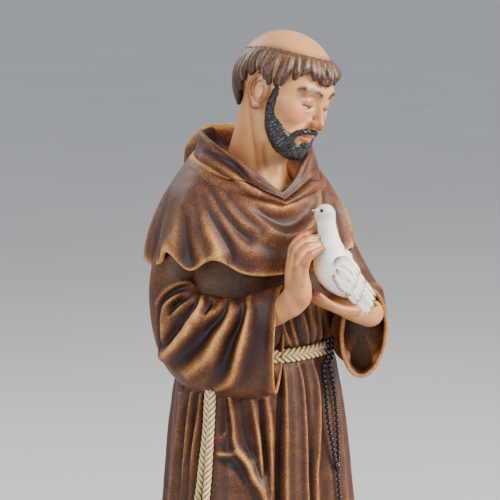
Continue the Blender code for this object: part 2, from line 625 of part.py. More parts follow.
def belt(level):
    angles = np.linspace(0, 360, 28, endpoint=False)
    line = on_tunic(angles, np.full(28, float(level)), 0.25 * ROPE)
    turns = np.linspace(0, 2 * math.pi, 5, endpoint=False)
    centre = np.array([0, line[:, 1].mean(), level])
    rings = []
    for p in line:
        out = (p - centre) / np.linalg.norm(p - centre)
        rings.append(p + ROPE / 2 * (np.outer(np.cos(turns), out) + np.outer(np.sin(turns), [0, 0, 1])))
    return skin("belt", np.array(rings), open_ends=True)


ROPE_ENDS = [
    [(-54, 280), (-55, 262), (-57, 240), (-60, 215), (-63, 190), (-65, 160), (-66, 130), (-66, 100)],
    [(-52, 280), (-52, 262), (-52.5, 240), (-53.5, 215), (-54.5, 190), (-55, 160), (-55, 135), (-55, 112)],
]
ROPE_KNOTS = [[(-64.5, 176), (-66, 148), (-66, 120)], [(-55, 178), (-55, 152), (-55, 128)]]


def rope_ends():
    knot = KNOT_DIAMETER / CARVE_UNIT
    made = []
    for route, knots in zip(ROPE_ENDS, ROPE_KNOTS):
        angles, heights = zip(*route)
        points = on_tunic(np.array(angles, float), np.array(heights, float), 0.3 * ROPE)
        made.append(thinned(limb("rope", [(*p, ROPE / 2) for p in points], sides=6, up=(0, 1, 0)), 110))
        for angle, height in knots:
            centre = on_tunic(np.array([angle]), np.array([height]), 0.3 * ROPE)[0]
            made.append(ball("knot", centre, (knot / 2, knot / 2, 0.62 * knot), segments=8))
        made.append(limb("tassel", [(*points[-1], 0.6 * ROPE), (*(points[-1] + [0, 0, -9]), 0.95 * ROPE)],
                         sides=6, up=(0, 1, 0)))
    return made


def feet():
    """Sandalled feet under the hem."""
    return [
        limb("right_foot", [(-22, -38, 4, 9), (-25, -52, 2.5, 9), (-27, -60, 1.5, 7)], flat=0.7),
        limb("left_foot", [(17, -38, 4, 9), (20, -50, 2.5, 9), (21, -58, 1.5, 7)], flat=0.7),
    ]


def base():
    mesh = bmesh.new()
    bmesh.ops.create_cone(mesh, cap_ends=True, segments=48, radius1=BASE_RADIUS, radius2=BASE_RADIUS,
                          depth=BASE_HEIGHT, matrix=Matrix.Translation((0, 0, BASE_HEIGHT / 2)))
    data = bpy.data.meshes.new("base")
    mesh.to_mesh(data)
    mesh.free()
    obj = object_from("base", data)
    rounding = obj.modifiers.new("Rounding", "BEVEL")
    rounding.width = min(BASE_CORNER, 0.4 * BASE_HEIGHT)
    rounding.segments = 2
    return finished(obj)


def statue(finish):
    whole = tunic()
    whole.name = "statue"
    parts = [
        cape(),
        sleeve("right_sleeve", RIGHT_SLEEVE, RIGHT_SLEEVE_FOLDS),
        sleeve("left_sleeve", LEFT_SLEEVE, LEFT_SLEEVE_FOLDS),
        hood(),
        neck(),
        cowl(),
        head(),
        belt(BELT_LEVEL + 0.48 * ROPE),
        belt(BELT_LEVEL - 0.48 * ROPE),
        *rope_ends(),
        *feet(),
        left_hand(),
        dove(),
        right_hand(),
        base(),
    ]
    combine(whole, parts)
    fill_hollows(whole)
    whole.data.materials.clear()
    whole.data.materials.append(finish)
    return whole


# The rosary: black glass beads on a thread, hung over the belt

ROSARY_LOOP = [(33.0, 283.5), (33.0, 279), (32.5, 262), (32.0, 240), (33.5, 222), (36.0, 215.5), (38.5, 222),
               (40.5, 240), (41.0, 256), (39.0, 268), (36.5, 279), (36.5, 283.5)]
ROSARY_DROP = [(36.0, 213), (36.0, 200), (36.2, 188), (36.4, 181)]


def clear_of(solid, line, gap):
    """The line's points, each moved out from the figure's axis until it is this far from the solid."""
    moved = []
    for point in line:
        place = Vector(point)
        outward = Vector((place.x, place.y, 0)).normalized()
        for _ in range(40):
            _, nearest, normal, _ = solid.closest_point_on_mesh(place)
            away = place - nearest
            distance = math.copysign(away.length, away.dot(normal))
            if distance >= gap - 1e-5:
                break
            place += outward * max(gap - distance, 2e-5)
        moved.append(place)
    return np.array(moved)


def beads(name, route, solid, nudge=(0, 0, 0)):
    """A string of beads as one tube that swells at each bead, along a route of (angle, height) on the figure.
    The string's last part leaves the figure by the nudge."""
    keys = [(i, *row) for i, row in enumerate(route)]
    fine = through(keys, np.linspace(0, len(route) - 1, 200))
    line = clear_of(solid, metres(on_tunic(fine[0], fine[1], 0.5)), BEAD_DIAMETER / 2 + BEAD_CLEARANCE)
    line = line + np.outer(np.linspace(0, 1, 200) ** 2, nudge)
    steps = np.linalg.norm(np.diff(line, axis=0), axis=1)
    travelled = np.concatenate([[0], np.cumsum(steps)])
    count = max(2, round(travelled[-1] / BEAD_SPACING))
    thread = THREAD_DIAMETER / BEAD_DIAMETER
    shape = [(0.0, thread), (0.28, 1.0), (0.72, 1.0)]
    at = [(i + share, size) for i in range(count) for share, size in shape] + [(count, thread)]
    where = np.array([a for a, _ in at]) / count * travelled[-1]
    points = np.stack([np.interp(where, travelled, line[:, k]) for k in range(3)], 1)
    curve = bpy.data.curves.new(name, "CURVE")
    curve.dimensions = "3D"
    curve.bevel_depth = BEAD_DIAMETER / 2
    curve.bevel_resolution = 1
    curve.use_fill_caps = True
    spline = curve.splines.new("POLY")
    spline.points.add(len(points) - 1)
    for point, place, (_, size) in zip(spline.points, points, at):
        point.co = (*place, 1)
        point.radius = size
    obj = object_from(name, curve)
    bpy.context.view_layer.update()
    mesh = bpy.data.meshes.new_from_object(obj.evaluated_get(bpy.context.evaluated_depsgraph_get()))
    bpy.data.objects.remove(obj, do_unlink=True)
    shape = bmesh.new()
    shape.from_mesh(mesh)
    bmesh.ops.remove_doubles(shape, verts=shape.verts, dist=1e-6)
    bmesh.ops.recalc_face_normals(shape, faces=shape.faces)
    shape.to_mesh(mesh)
    shape.free()
    return object_from(name, mesh)


def bar(name, frame, centre, sizes):
    mesh = bmesh.new()
    place = frame @ Matrix.Translation(centre) @ Matrix.Diagonal((*sizes, 1))
    bmesh.ops.create_cube(mesh, size=1, matrix=place)
    data = bpy.data.meshes.new(name)
    mesh.to_mesh(data)
    mesh.free()
    return object_from(name, data)


def crucifix(solid, top):
    """A small cross that hangs from this point and lies along the habit."""
    gap = 0.75 * CROSS_BAR + BEAD_CLEARANCE
    top = Vector(top)
    foot = Vector(clear_of(solid, [top - Vector((0, 0, CROSS_LENGTH))], gap)[0])
    along = (top - foot).normalized()
    outward = Vector((top.x, top.y, 0)).normalized()
    beside = outward.cross(along).normalized()
    front = along.cross(beside)
    spots = [top - along * (b * CROSS_LENGTH) + beside * (a * 0.3 * CROSS_LENGTH)
             for a in (-1, 0, 1) for b in (0.1, 0.28, 0.5, 0.75, 1)]
    cleared = clear_of(solid, spots, gap)
    shift = max((Vector(p) - spot).dot(front) for p, spot in zip(cleared, spots))
    frame = Matrix.Translation(top + front * shift) @ Matrix((beside, front, along)).transposed().to_4x4()
    cross = bar("cross", frame, (0, 0, CROSS_BAR - CROSS_LENGTH / 2), (CROSS_BAR, CROSS_BAR, CROSS_LENGTH))
    arms = bar("arms", frame, (0, 0, -0.28 * CROSS_LENGTH),
               (0.6 * CROSS_LENGTH, 0.9 * CROSS_BAR, 0.9 * CROSS_BAR))
    return combine(cross, [arms]), front * shift


def rosary(finish, solid):
    bpy.context.view_layer.update()
    whole = beads("rosary", ROSARY_LOOP, solid)
    last = metres(on_tunic(*(np.array([v]) for v in ROSARY_DROP[-1]), 0.5))
    cross, nudge = crucifix(solid, clear_of(solid, last, BEAD_DIAMETER / 2 + BEAD_CLEARANCE)[0])
    drop = beads("drop", ROSARY_DROP, solid, nudge)
    gap = 0.8 * BEAD_DIAMETER + BEAD_CLEARANCE
    joint = clear_of(solid, metres(on_tunic(np.array([36.0]), np.array([214.0]), 0.5)), gap)[0]
    medal = bpy.data.meshes.new("medal")
    shape = bmesh.new()
    bmesh.ops.create_uvsphere(shape, u_segments=10, v_segments=6, radius=0.8 * BEAD_DIAMETER,
                              matrix=Matrix.Translation(joint))
    shape.to_mesh(medal)
    shape.free()
    combine(whole, [object_from("medal", medal), drop, cross])
    whole.data.materials.clear()
    whole.data.materials.append(finish)
    return whole


def main():
    start_scene()
    parts = collection("saint_francis_statue")
    resin = material("painted_resin", (0.24, 0.11, 0.05), 0.45)
    glass = material("black_beads", (0.01, 0.01, 0.015), 0.12)
    figure = statue(resin)
    for obj in (figure, rosary(glass, figure)):
        for owner in list(obj.users_collection):
            owner.objects.unlink(obj)
        parts.objects.link(obj)
        obj.data.shade_smooth()
        obj.data.set_sharp_from_angle(angle=math.radians(40))


main()
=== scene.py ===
"""The looks of a painted resin friar who holds a dove, on a low round base.

The figure faces -Y. Its forms are written in carve units of one millimetre, counted from the top of the base.
"""

import math

import bpy
import numpy as np
import openvdb
from mathutils import Euler, Matrix, Vector


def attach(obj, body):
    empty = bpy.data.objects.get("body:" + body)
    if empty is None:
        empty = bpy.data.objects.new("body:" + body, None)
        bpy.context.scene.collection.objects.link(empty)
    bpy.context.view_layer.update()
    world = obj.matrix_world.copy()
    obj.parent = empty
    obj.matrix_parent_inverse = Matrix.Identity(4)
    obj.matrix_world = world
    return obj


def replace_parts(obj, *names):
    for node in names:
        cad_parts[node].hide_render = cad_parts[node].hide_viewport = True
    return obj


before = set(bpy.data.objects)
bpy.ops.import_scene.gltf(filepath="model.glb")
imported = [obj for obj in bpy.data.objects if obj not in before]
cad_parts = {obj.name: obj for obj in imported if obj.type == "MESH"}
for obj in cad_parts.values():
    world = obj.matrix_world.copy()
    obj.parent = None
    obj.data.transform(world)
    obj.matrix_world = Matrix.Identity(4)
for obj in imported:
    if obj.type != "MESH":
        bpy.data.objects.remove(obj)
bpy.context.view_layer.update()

# The camera, with a long lens. It looks at the figure from its front right, a little from above,
# from where the picture was taken.

VIEW_AZIMUTH, VIEW_ELEVATION, VIEW_DISTANCE = math.radians(-25), math.radians(10), 0.900
VIEW_TARGET = np.array([-0.0038, 0.0018, 0.3417])
LENS, SENSOR, PICTURE = 123.2, 36.0, 500
VIEW_BACK = np.array([
    math.sin(VIEW_AZIMUTH) * math.cos(VIEW_ELEVATION),
    -math.cos(VIEW_AZIMUTH) * math.cos(VIEW_ELEVATION),
    math.sin(VIEW_ELEVATION),
])
VIEW_RIGHT = np.array([math.cos(VIEW_AZIMUTH), math.sin(VIEW_AZIMUTH), 0])
VIEW_UP = np.cross(VIEW_BACK, VIEW_RIGHT)


def facing(place, target):
    """A placing at this point whose -Z axis looks at the target."""
    back = Vector(place) - Vector(target)
    return Matrix.Translation(place) @ back.to_track_quat("Z", "Y").to_matrix().to_4x4()


def added(name, data):
    """A new object in the scene."""
    made = bpy.data.objects.new(name, data)
    bpy.context.scene.collection.objects.link(made)
    return made


camera_data = bpy.data.cameras.new("camera")
camera_data.lens = LENS
camera_data.sensor_width = SENSOR
camera_data.clip_start = 0.02
camera = added("camera", camera_data)
camera.matrix_world = facing(VIEW_TARGET + VIEW_BACK * VIEW_DISTANCE, VIEW_TARGET)
bpy.context.scene.camera = camera

# Soft studio light: a large warm panel at the front right, a cool one at the left and a rim light behind,
# in a pale room. The panels are rows of (name, place, side, watts, colour).

LIGHTS = [
    ("key_panel", (0.75, -0.75, 1.00), 0.70, 42.0, (1.0, 0.95, 0.88)),
    ("cool_panel", (-0.95, -0.55, 0.75), 0.80, 9.5, (0.84, 0.92, 1.0)),
    ("rim_panel", (-0.30, 0.80, 0.95), 0.60, 6.0, (1.0, 0.98, 0.95)),
]
LIT_POINT = (0, 0, 0.33)
ROOM_COLOUR, ROOM_STRENGTH = (0.72, 0.75, 0.80, 1), 0.78
for name, place, size, power, colour in LIGHTS:
    panel = bpy.data.lights.new(name, "AREA")
    panel.shape = "SQUARE"
    panel.size = size
    panel.energy = power
    panel.color = colour
    added(name, panel).matrix_world = facing(place, LIT_POINT)

room = bpy.data.worlds.new("pale_room")
room.use_nodes = True
room.node_tree.nodes["Background"].inputs["Color"].default_value = ROOM_COLOUR
room.node_tree.nodes["Background"].inputs["Strength"].default_value = ROOM_STRENGTH
bpy.context.scene.world = room

# The stage: a plain pale floor that the figure stands on, and no part of it.
# It is matt and faintly clouded.

FLOOR_HALF = 40.0


def node(tree, kind, inputs=None, **settings):
    """A new node, each input set to a value or joined to a socket, or to a list of them."""
    made = tree.nodes.new(kind)
    for key, value in settings.items():
        setattr(made, key, value)
    for key, value in (inputs or {}).items():
        for one in value if isinstance(value, list) else [value]:
            if isinstance(one, bpy.types.NodeSocket):
                tree.links.new(one, made.inputs[key])
            else:
                made.inputs[key].default_value = one
    return made


def new_material(name):
    """A material with its node tree, its own surface node and its object coordinates."""
    made = bpy.data.materials.new(name)
    made.use_nodes = True
    tree = made.node_tree
    coordinates = node(tree, "ShaderNodeTexCoord").outputs["Object"]
    return made, tree, tree.nodes["Principled BSDF"], coordinates


def clouded_paint(name, scale, detail, dark, light, roughness):
    """A plain paint that drifts between two tones."""
    made, tree, surface, where = new_material(name)
    clouds = node(tree, "ShaderNodeTexNoise", {"Vector": where, "Scale": scale, "Detail": detail})
    tone = node(tree, "ShaderNodeValToRGB", {"Fac": clouds.outputs["Fac"]})
    tone.color_ramp.elements[0].color = (*dark, 1)
    tone.color_ramp.elements[1].color = (*light, 1)
    tree.links.new(tone.outputs["Color"], surface.inputs["Base Color"])
    surface.inputs["Roughness"].default_value = roughness
    return made


floor_mesh = bpy.data.meshes.new("floor")
floor_mesh.from_pydata([(FLOOR_HALF * x, FLOOR_HALF * y, 0) for x, y in ((-1, -1), (1, -1), (1, 1), (-1, 1))],
                       [], [(0, 1, 2, 3)])
floor_paint = clouded_paint("floor_paint", 3.0, 3.0, (0.56, 0.56, 0.57), (0.64, 0.64, 0.64), 0.8)
floor_mesh.materials.append(floor_paint)
added("floor", floor_mesh)

# The habit's tunic and skirt: cloth in deep upright folds, carved in the cast resin of the whole figure
# and standing on its base. Brown paint is dry-brushed over a dark wash, which stays in the folds,
# and the wide hollows carry painted shade.
# Its form is rows of (height, half width, half depth, set back).

BASE_TOP = 14.0
TUNIC = [
    (-2, 63.0, 55.0, -1.0),
    (12, 63.5, 55.0, -1.0),
    (60, 60.5, 51.5, -1.0),
    (130, 56.0, 46.5, -1.5),
    (200, 50.0, 41.0, -1.0),
    (250, 45.5, 36.5, 0.5),
    (272, 42.5, 33.5, 1.5),
    (279, 41.5, 32.5, 2.0),
    (285, 43.5, 34.5, 2.0),
    (293, 45.0, 36.0, 2.5),
    (310, 45.0, 35.5, 4.0),
    (335, 44.0, 33.0, 5.0),
    (358, 38.0, 28.0, 6.0),
    (372, 24.0, 22.0, 6.0),
]
# Folds seen in the picture are rows of (x, y, rise, width), the first two in its pixels.
BLOUSE_FOLDS = [
    [(283, 322, 0.8, 3), (288, 338, 1.8, 3.2), (295, 347, 1.0, 3)],
    [(290, 310, 0.6, 3), (292, 325, 1.6, 3), (296, 342, 1.8, 3), (298, 348, 0.8, 2.5)],
    [(302, 308, 0.6, 3), (306, 325, 1.8, 3), (309, 341, 1.4, 3)],
    [(311, 314, 1.0, 5), (314, 330, 2.4, 6), (314, 342, 1.0, 4)],
    [(320, 320, 0.6, 3), (321, 336, 1.6, 3), (318, 343, 1.0, 3)],
    [(327, 318, 0.8, 5), (328, 333, 2.2, 5), (326, 341, 0.8, 4)],
    [(286, 316, -0.8, 2.2), (290, 334, -1.6, 2.2), (296, 347, -1.2, 2)],
    [(297, 308, -0.8, 2.2), (300, 330, -1.6, 2.2), (303, 344, -1.2, 2)],
    [(306, 304, -0.8, 2), (308, 320, -1.8, 2), (311, 342, -1.2, 2)],
    [(318, 306, -0.8, 2), (318, 324, -1.6, 2), (319, 340, -1.2, 2)],
]
SKIRT_FOLDS = [
    [(283, 366, 0.8, 2.6), (285.5, 380, 1.9, 3.2), (286.5, 430, 2.3, 3.6), (286, 500, 2.4, 4)],
    [(299, 363, 0.9, 2.6), (303, 387, 2.0, 3.2), (306, 437, 2.5, 3.6), (307, 500, 2.6, 4)],
    [(292, 372, 1.0, 6), (295, 430, 1.7, 8), (296, 500, 1.8, 9)],
    [(305, 366, -1.0, 2.5), (309, 403, -2.0, 3.6), (312, 500, -2.2, 4)],
    [(313, 362, 0.8, 2.5), (318, 387, 2.0, 3.2), (319, 420, 2.3, 3.6), (317.5, 453, 2.3, 4),
     (317, 500, 2.3, 4)],
    [(324, 365, -1.2, 3.5), (327, 400, -2.4, 5), (328, 450, -2.6, 6), (328, 500, -2.6, 6)],
    [(338, 400, 0.8, 5), (343, 462, 2.2, 5), (345, 500, 2.6, 5)],
    [(281, 366, -1.6, 2.4), (281.5, 420, -3.0, 3.2), (281.5, 500, -3.2, 3.6)],
    [(267, 398, 1.4, 3), (270, 420, 2.4, 3.5), (271.7, 453, 2.6, 4), (271.7, 500, 2.6, 4)],
    [(276, 398, -0.8, 3), (277, 440, -1.3, 3), (277, 500, -1.3, 3.5)],
    [(261.7, 400, -1.6, 2.5), (264, 437, -2.6, 3), (268, 470, -2.6, 3), (270, 500, -1.5, 3)],
    [(253, 400, 1.0, 2.5), (256, 420, 1.8, 3), (260, 445, 2.0, 3), (263, 470, 1.7, 3), (266, 500, 1.0, 3)],
    [(224, 398, -0.8, 4), (224, 415, -1.8, 5), (225, 430, -1.8, 5), (226, 444, -0.8, 4)],
    [(181, 392, 2.0, 3), (179, 420, 2.6, 3.5), (172, 500, 2.8, 4)],
    [(187, 392, -1.8, 2.5), (184, 420, -2.5, 3), (178, 500, -2.7, 3)],
    [(191, 393, 1.4, 2.5), (188, 420, 2.0, 3), (182, 500, 2.2, 3)],
    [(195, 394, -1.4, 2.2), (191.5, 430, -2.1, 2.5), (187, 500, -1.6, 2.5)],
    [(200, 395, 0.8, 2.5), (198, 420, 1.8, 3), (193, 453, 2.4, 3.5), (187, 500, 2.6, 4)],
    [(204, 396, -2, 3), (203, 430, -3, 4), (197, 500, -3, 4)],
]
# The long fold over the right knee with its branch, and the hollows beside it
KNEE_FOLDS = [
    [(229, 397, 1.6, 2.6), (231, 412, 2.6, 3), (233, 428, 3.0, 3.2), (235, 443, 3.6, 3.6), (238, 452, 4.2, 4),
     (247, 463, 4.4, 4.2), (255, 477, 4.4, 4.4), (260, 488, 4.2, 4.6), (264, 500, 3.6, 5)],
    [(238, 452, 0.4, 3), (228, 453, 2.2, 3), (219, 455, 1.8, 3)],
    [(246, 480, -0.8, 4), (240, 470, -1.4, 4.6), (230, 463, -1.4, 4.4), (221, 461, -0.6, 3.6)],
    [(243, 398, -2.5, 6), (246, 430, -3.2, 6), (252, 455, -2.4, 5)],
]
KNEE = [(-38, 222, 0.5, 14), (-40, 200, 3.6, 20), (-42, 170, 6.5, 26), (-43, 130, 7.0, 30),
        (-42, 80, 3.0, 30), (-40, 30, 0.0, 24)]
LOW_FOLDS = (-57, -47, -31, -21, 20, 38, 49, 60)
BACK_FOLD_ANGLES = np.linspace(72, 246, 9)
# The tunic's mesh starts at its seam on the right of the back, fine in front and coarser behind.
TUNIC_SEAM, TUNIC_FINE_END, TUNIC_ANGLES, TUNIC_BACK_ANGLES = -118, 82, 236, 90
TUNIC_TOP, TUNIC_LEVELS = 364, 192
# Hand carving leaves lumps, pairs of (height, breadth).
LUMPS = ((0.16, 7), (0.07, 2.6))


def metres(points):
    """Points in carve units as points in metres, on top of the base."""
    return (np.asarray(points, float) + [0, 0, BASE_TOP]) / 1000


def through(keys, at):
    """A smooth curve through rows of (position, value, ...), read at the given positions."""
    keys = np.array(keys, float)
    at = np.asarray(at, float)
    x, y = keys[:, 0], keys[:, 1:]
    slope = np.gradient(y, x, axis=0)
    left = np.clip(np.searchsorted(x, at) - 1, 0, len(x) - 2)
    span = (x[left + 1] - x[left])[..., None]
    t = np.clip((at - x[left])[..., None] / span, 0, 1)
    start = y[left] * (1 + 2 * t) * (1 - t) ** 2 + slope[left] * span * t * (1 - t) ** 2
    end = y[left + 1] * t**2 * (3 - 2 * t) + slope[left + 1] * span * t**2 * (t - 1)
    return np.moveaxis(start + end, -1, 0)


def outward(grid):
    """Unit normals of a grid of points whose columns go once round, away from its middle."""
    round_it = np.concatenate([grid[:, -1:], grid, grid[:, :1]], 1)
    across = round_it[:, 2:] - round_it[:, :-2]
    normal = np.cross(across, np.gradient(grid, axis=0))
    normal /= np.linalg.norm(normal, axis=-1)[..., None] + 1e-9
    away = grid - grid.mean(axis=1, keepdims=True)
    return normal * np.sign((normal * away).sum())


def folds_rise(grid, folds, crisp):
    """How far the folds stand out at each point. A fold is rows of (x, y, z, rise, width) on the form."""
    flat = grid.reshape(-1, 3)
    relief = np.zeros(len(flat))
    for fold in folds:
        rows = np.array(fold, float)
        steps = np.linspace(0, len(rows) - 1, 6 * (len(rows) - 1) + 1)
        line = through(np.column_stack([np.arange(len(rows)), rows]), steps).T
        widest = line[:, 4].max()
        low, high = line[:, :3].min(0) - widest, line[:, :3].max(0) + widest
        near = np.flatnonzero(((flat > low) & (flat < high)).all(1))
        points = flat[near]
        closest = np.full(len(near), np.inf)
        lift = np.zeros(len(near))
        for a, b in zip(line, line[1:]):
            run = b[:3] - a[:3]
            t = np.clip((points - a[:3]) @ run / (run @ run + 1e-9), 0, 1)
            away = np.linalg.norm(points - a[:3] - t[:, None] * run, axis=1)
            away /= a[4] + t * (b[4] - a[4])
            nearer = away < closest
            closest = np.where(nearer, away, closest)
            lift = np.where(nearer, a[3] + t * (b[3] - a[3]), lift)
        relief[near] += lift * (1 - np.clip(closest, 0, 1) ** crisp) ** 2
    return relief.reshape(grid.shape[:-1])


def seen_on(grid, normals, path):
    """A path of (x, y, rise, width), the first two in pixels of the picture, laid on the form as seen."""
    points = grid.reshape(-1, 3)
    towards = normals.reshape(-1, 3) @ VIEW_BACK > 0.05
    points = points[towards]
    rel = metres(points) - VIEW_TARGET
    scale = VIEW_DISTANCE / (VIEW_DISTANCE - rel @ VIEW_BACK) * PICTURE * LENS / SENSOR / VIEW_DISTANCE
    across, down = PICTURE / 2 + rel @ VIEW_RIGHT * scale, PICTURE / 2 - rel @ VIEW_UP * scale
    laid = []
    for x, y, rise, width in path:
        miss = (across - x) ** 2 + (down - y) ** 2
        nearest = np.where(miss < miss.min() + 2, rel @ VIEW_BACK, -np.inf)
        laid.append((*points[np.argmax(nearest)], rise, width))
    return laid


def mottle(points, size, seed):
    """Smooth noise from -1 to 1 at points, its lumps about so many carve units across."""
    lattice = np.random.default_rng(seed).uniform(-1, 1, (24, 24, 24))
    cell = np.floor(points / size).astype(int)
    t = points / size - cell
    t = t * t * (3 - 2 * t)
    total = np.zeros(points.shape[:-1])
    for corner in np.ndindex(2, 2, 2):
        share = np.prod(np.where(corner, t, 1 - t), axis=-1)
        total += share * lattice[tuple(np.moveaxis((cell + corner) % 24, -1, 0))]
    return total


def carved(form, out, folds, seed, crisp=1.7, lumps=LUMPS):
    """The form with its folds and the lumps of hand carving."""
    rise = folds_rise(form, folds, crisp)
    for number, (height, breadth) in enumerate(lumps):
        rise = rise + height * mottle(form, breadth, seed + number)
    return form + out * rise[..., None]


def mesh_object(name, points, faces, finish, slot="painted_resin"):
    """A smooth closed mesh from points in carve units, which rides on the figure."""
    mesh = bpy.data.meshes.new(name)
    mesh.from_pydata(metres(points), [], faces)
    mesh.validate()
    mesh.shade_smooth()
    mesh.materials.append(finish)
    made = added(name, mesh)
    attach(made, "root")
    return made


def loft(rings, closed=False):
    """Points and faces of a skin through rings, its ends closed by fans, or joined where closed.

    The faces point outwards.
    """
    count, around = rings.shape[:2]
    index = np.arange(count * around).reshape(count, around)
    low = index if closed else index[:-1]
    high = np.roll(index, -1, axis=0) if closed else index[1:]
    quads = np.stack([low, np.roll(low, -1, axis=1), np.roll(high, -1, axis=1), high], -1).reshape(-1, 4)
    points = rings.reshape(-1, 3)
    faces = quads.tolist()
    if not closed:
        points = np.concatenate([points, [rings[0].mean(0), rings[-1].mean(0)]])
        ends = ((index[0][::-1], count * around), (index[-1], count * around + 1))
        for ring, middle in ends:
            faces += [[int(a), int(b), middle] for a, b in zip(ring, np.roll(ring, -1))]
    corner = points[quads[:, :3]]
    volume = np.einsum("ij,ij->i", corner[:, 0], np.cross(corner[:, 1], corner[:, 2])).sum()
    if volume < 0:
        faces = [face[::-1] for face in faces]
    return points, faces


def add_relief(obj, fine=1.2, broad=6.0, fine_full=0.12, broad_full=1.2, share=0.5):
    """Stores how far each point stands out from its surroundings, 0 in a deep recess, 1 on a ridge. Its broad
    share makes wide hollows darker, as painted shade.
    """
    mesh = obj.data
    count = len(mesh.vertices)
    points = np.empty(count * 3)
    mesh.vertices.foreach_get("co", points)
    points = points.reshape(-1, 3) * 1000
    normals = np.empty(count * 3, np.float32)
    mesh.vertex_normals.foreach_get("vector", normals)
    normals = normals.reshape(-1, 3)
    edges = np.empty(len(mesh.edges) * 2, int)
    mesh.edges.foreach_get("vertices", edges)
    a, b = edges.reshape(-1, 2).T
    degree = np.bincount(a, minlength=count) + np.bincount(b, minlength=count)
    length = np.median(np.linalg.norm(points[a] - points[b], axis=1))
    smooth = points.copy()
    found = []
    done = 0
    for reach in (fine, broad):
        steps = int(np.clip((reach / length) ** 2, 2, 260))
        for _ in range(steps - done):
            near = np.stack([np.bincount(a, smooth[b, k], count) + np.bincount(b, smooth[a, k], count)
                             for k in range(3)], 1)
            smooth = 0.4 * smooth + 0.6 * near / degree[:, None]
        done = steps
        found.append(((points - smooth) * normals).sum(1))
    # The fine share is the wash in narrow recesses; the broad share darkens wide hollows as painted shade.
    relief = share * np.clip(found[0] / fine_full, -1, 1)
    relief = relief + (1 - share) * np.clip(found[1] / broad_full, -1, 1)
    layer = mesh.attributes.new("relief", "FLOAT", "POINT")
    layer.data.foreach_set("value", (0.5 + 0.5 * relief).astype(np.float32))
    return 0.5 + 0.5 * relief


# The cloth's colours, from the dark wash and painted shade of the deepest hollows to the dry-brushed ridges.
CLOTH_COLOURS = [
    (0.05, (0.003, 0.0013, 0.001)),
    (0.28, (0.015, 0.005, 0.003)),
    (0.46, (0.044, 0.0135, 0.0055)),
    (0.60, (0.105, 0.033, 0.010)),
    (0.76, (0.290, 0.108, 0.027)),
    (0.95, (0.620, 0.320, 0.090)),
]


def washed_and_shaded_paint(name, colours, gloss, stipple=0.10, cloud=0.10, grain=1.0, streak=1.0, tinted=False,
                 shine=0.5):
    """Antique paint: dark wash in the recesses, deepened in wide hollows as painted shade, dry-brushed
    ridges, a fine stipple and a satin varnish.
    """
    made, tree, surface, where = new_material(name)
    height = node(tree, "ShaderNodeAttribute", attribute_name="relief").outputs["Fac"]
    streaks = node(tree, "ShaderNodeMapping", {"Vector": where, "Scale": (1, 1, streak)}).outputs["Vector"]

    def noise(place, scale, detail, roughness):
        """How dark a cloudy pattern is at this place."""
        inputs = {"Vector": place, "Scale": scale, "Detail": detail, "Roughness": roughness}
        return node(tree, "ShaderNodeTexNoise", inputs).outputs["Fac"]

    def spread(value, low, high, to_low, to_high):
        """The value, its first range made the second."""
        inputs = {"Value": value, "From Min": low, "From Max": high, "To Min": to_low, "To Max": to_high}
        return node(tree, "ShaderNodeMapRange", inputs).outputs["Result"]

    def plus(one, other):
        """The sum of two values."""
        return node(tree, "ShaderNodeMath", {0: one, 1: other}, operation="ADD").outputs[0]

    fine = noise(streaks, 1400.0, 4.0, 0.65)
    speckled = plus(height, spread(fine, 0.25, 0.75, -stipple, stipple))
    total = plus(speckled, spread(noise(where, 70.0, 5.0, 0.6), 0.25, 0.75, -cloud, cloud))
    # The ramp runs from the dark wash and painted shade of the hollows to the dry-brushed ridges.
    ramp = node(tree, "ShaderNodeValToRGB", {"Fac": total})
    stops = ramp.color_ramp.elements
    for i, (place, colour) in enumerate(colours):
        stop = stops[i] if i < 2 else stops.new(place)
        stop.position = place
        stop.color = (*colour, 1)
    colour = ramp.outputs["Color"]
    if tinted:
        brushed = node(tree, "ShaderNodeAttribute", attribute_name="tint")
        colour = node(tree, "ShaderNodeMixRGB", {"Fac": brushed.outputs["Alpha"], "Color1": colour,
                                         "Color2": brushed.outputs["Color"]}).outputs["Color"]
    tree.links.new(colour, surface.inputs["Base Color"])
    rough = plus(spread(fine, 0.3, 0.7, gloss - 0.08, gloss + 0.10), spread(height, 0.15, 0.8, -0.06, 0.14))
    tree.links.new(rough, surface.inputs["Roughness"])
    surface.inputs["Specular IOR Level"].default_value = shine
    bump = node(tree, "ShaderNodeBump", {"Height": fine, "Strength": 0.25 * grain, "Distance": 0.0004})
    tree.links.new(bump.outputs["Normal"], surface.inputs["Normal"])
    return made


def tunic_round(angles, heights):
    """The tunic before its folds are cut, at these angles and heights."""
    wide, deep, back = through(TUNIC, heights)
    turn = np.radians(angles)
    return np.stack([wide * np.sin(turn), back - deep * np.cos(turn), heights + 0 * turn], -1)


def on_round(form, fold):
    """A fold given by angles and heights, laid on a round form."""
    angles, heights, rises, widths = np.array(fold, float).T
    return np.column_stack([form(angles, heights), rises, widths])


